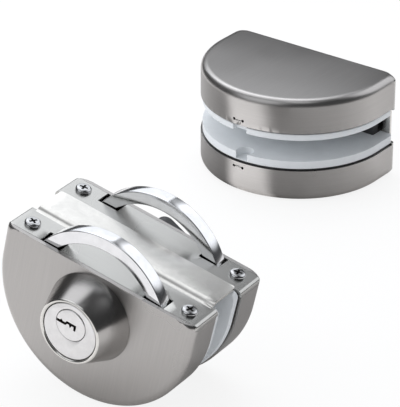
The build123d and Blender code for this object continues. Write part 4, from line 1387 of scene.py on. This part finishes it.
class DOORLOCK_OT_cylinder(bpy.types.Operator):
    """Build the conical rosette, the cylinder's body and its plug"""
    bl_idname = "door_lock.cylinder"
    bl_label = "Key cylinder"

    def execute(self, context):
        place = lock_frame() @ mirrored()
        dress(move_mesh(make_rosette(), place), "lock_case", "cylinder_rosette")
        dress(move_mesh(make_cylinder_body(), place), "lock_case", "cylinder_body", "silver")
        dress(move_mesh(make_plug(), place), "key_cylinder_plug", "key_plug")
        return {"FINISHED"}


# Pads

def d_outline(inset, top, corner):
    """The D outline as (x, z) points, with rounded top corners."""
    c = settings().cover
    half = c.half_width - inset
    right = arc_points((half - corner, top - corner), corner, 90, 0, 6)
    end = arc_points((0.0, -c.straight), half, 0, -180, c.around)
    return right + end + [(-x, z) for x, z in reversed(right)]


def make_pad(name, top, opening, back):
    """A pad in the rear half: a wide plate with rounded edges on a smaller core."""
    p = settings().pad
    pad = prism(name, d_outline(p.inset, top, p.corner), p.near, back)
    bar_room = box((-p.room_half, p.near - PAST, p.room_low), (p.room_half, back + PAST, 2 * PAST))
    cut(pad, [opening(), bar_room])
    round_edges(pad, p.edge_round, 4, 50)
    bake(pad)
    outline = d_outline(p.core_inset, p.core_top, p.core_corner)
    core = prism("core", outline, back - p.core_lap, settings().cover.mouth)
    cut(core, [opening()])
    cut(pad, [core], "UNION")
    return shade(pad, 30)


def hub_opening():
    """The cutter for the bolts' hub."""
    middle = 8 * MM
    depth = 8 * MM
    return rod(settings().pad.hub_radius, (0, middle, settings().bolt.axis_z), (0, 1, 0), depth, 64)


def square_opening():
    """The cutter for the square notch, in line with the snap tab."""
    p = settings().pad
    c = settings().cover
    end_z = -c.straight - c.half_width
    depth = 10 * MM
    low = (c.snap_x - p.notch_half, 0.0, end_z - 2 * PAST)
    return box(low, (c.snap_x + p.notch_half, depth, end_z + p.notch_height))


def round_opening():
    """The cutter for the round notch."""
    p = settings().pad
    c = settings().cover
    end_z = -c.straight - c.half_width
    depth = 10 * MM
    return rod(p.round_radius, (0, depth / 2, end_z + p.round_rise), (0, 1, 0), depth, 64)


class DOORLOCK_OT_pads(bpy.types.Operator):
    """Build the four glass pads"""
    bl_idname = "door_lock.pads"
    bl_label = "Glass pads"

    def execute(self, context):
        p = settings().pad
        pads = (
            ("front_glass_pad", "front_pad", p.front_top, hub_opening, p.back),
            ("rear_glass_pad", "rear_pad", p.rear_top, hub_opening, p.back),
            ("upper_glass_pad", "keeper_upper_pad", p.front_top, square_opening, p.back),
            ("lower_glass_pad", "keeper_lower_pad", p.rear_top, round_opening, p.low_back),
        )
        for (name, node, top, opening, back), (place, body) in zip(pads, halves()):
            pad = move_mesh(make_pad(name, top, opening, back), place)
            dress(pad, body, node, "pad")
        return {"FINISHED"}


class DOORLOCK_PT_panel(bpy.types.Panel):
    """The buttons that build the lock"""
    bl_idname = "DOORLOCK_PT_panel"
    bl_label = "Glass door lock"
    bl_space_type = "VIEW_3D"
    bl_region_type = "UI"
    bl_category = "Door Lock"

    def draw(self, context):
        for operator in OPERATORS:
            self.layout.operator(operator.bl_idname)


OPERATORS = [
    DOORLOCK_OT_stage, DOORLOCK_OT_inner_pieces, DOORLOCK_OT_shells, DOORLOCK_OT_plates,
    DOORLOCK_OT_bolts, DOORLOCK_OT_screws, DOORLOCK_OT_cylinder, DOORLOCK_OT_pads,
]
CLASSES = [
    PlacingSettings, CoverSettings, PlateSettings, BoltSettings, ScrewSettings, CylinderSettings,
    PadSettings, TurnSettings, FinishSettings, StageSettings, DoorLockSettings, *OPERATORS,
    DOORLOCK_PT_panel,
]


def register():
    for kind in CLASSES:
        bpy.utils.register_class(kind)
    bpy.types.Scene.door_lock = PointerProperty(type=DoorLockSettings)


def unregister():
    del bpy.types.Scene.door_lock
    for kind in reversed(CLASSES):
        bpy.utils.unregister_class(kind)


def main():
    """Registers the add-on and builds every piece."""
    register()
    bpy.ops.door_lock.stage()
    bpy.ops.door_lock.inner_pieces()
    bpy.ops.door_lock.shells()
    bpy.ops.door_lock.plates()
    bpy.ops.door_lock.bolts()
    bpy.ops.door_lock.screws()
    bpy.ops.door_lock.cylinder()
    bpy.ops.door_lock.pads()
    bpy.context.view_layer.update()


if __name__ == "__main__":
    main()
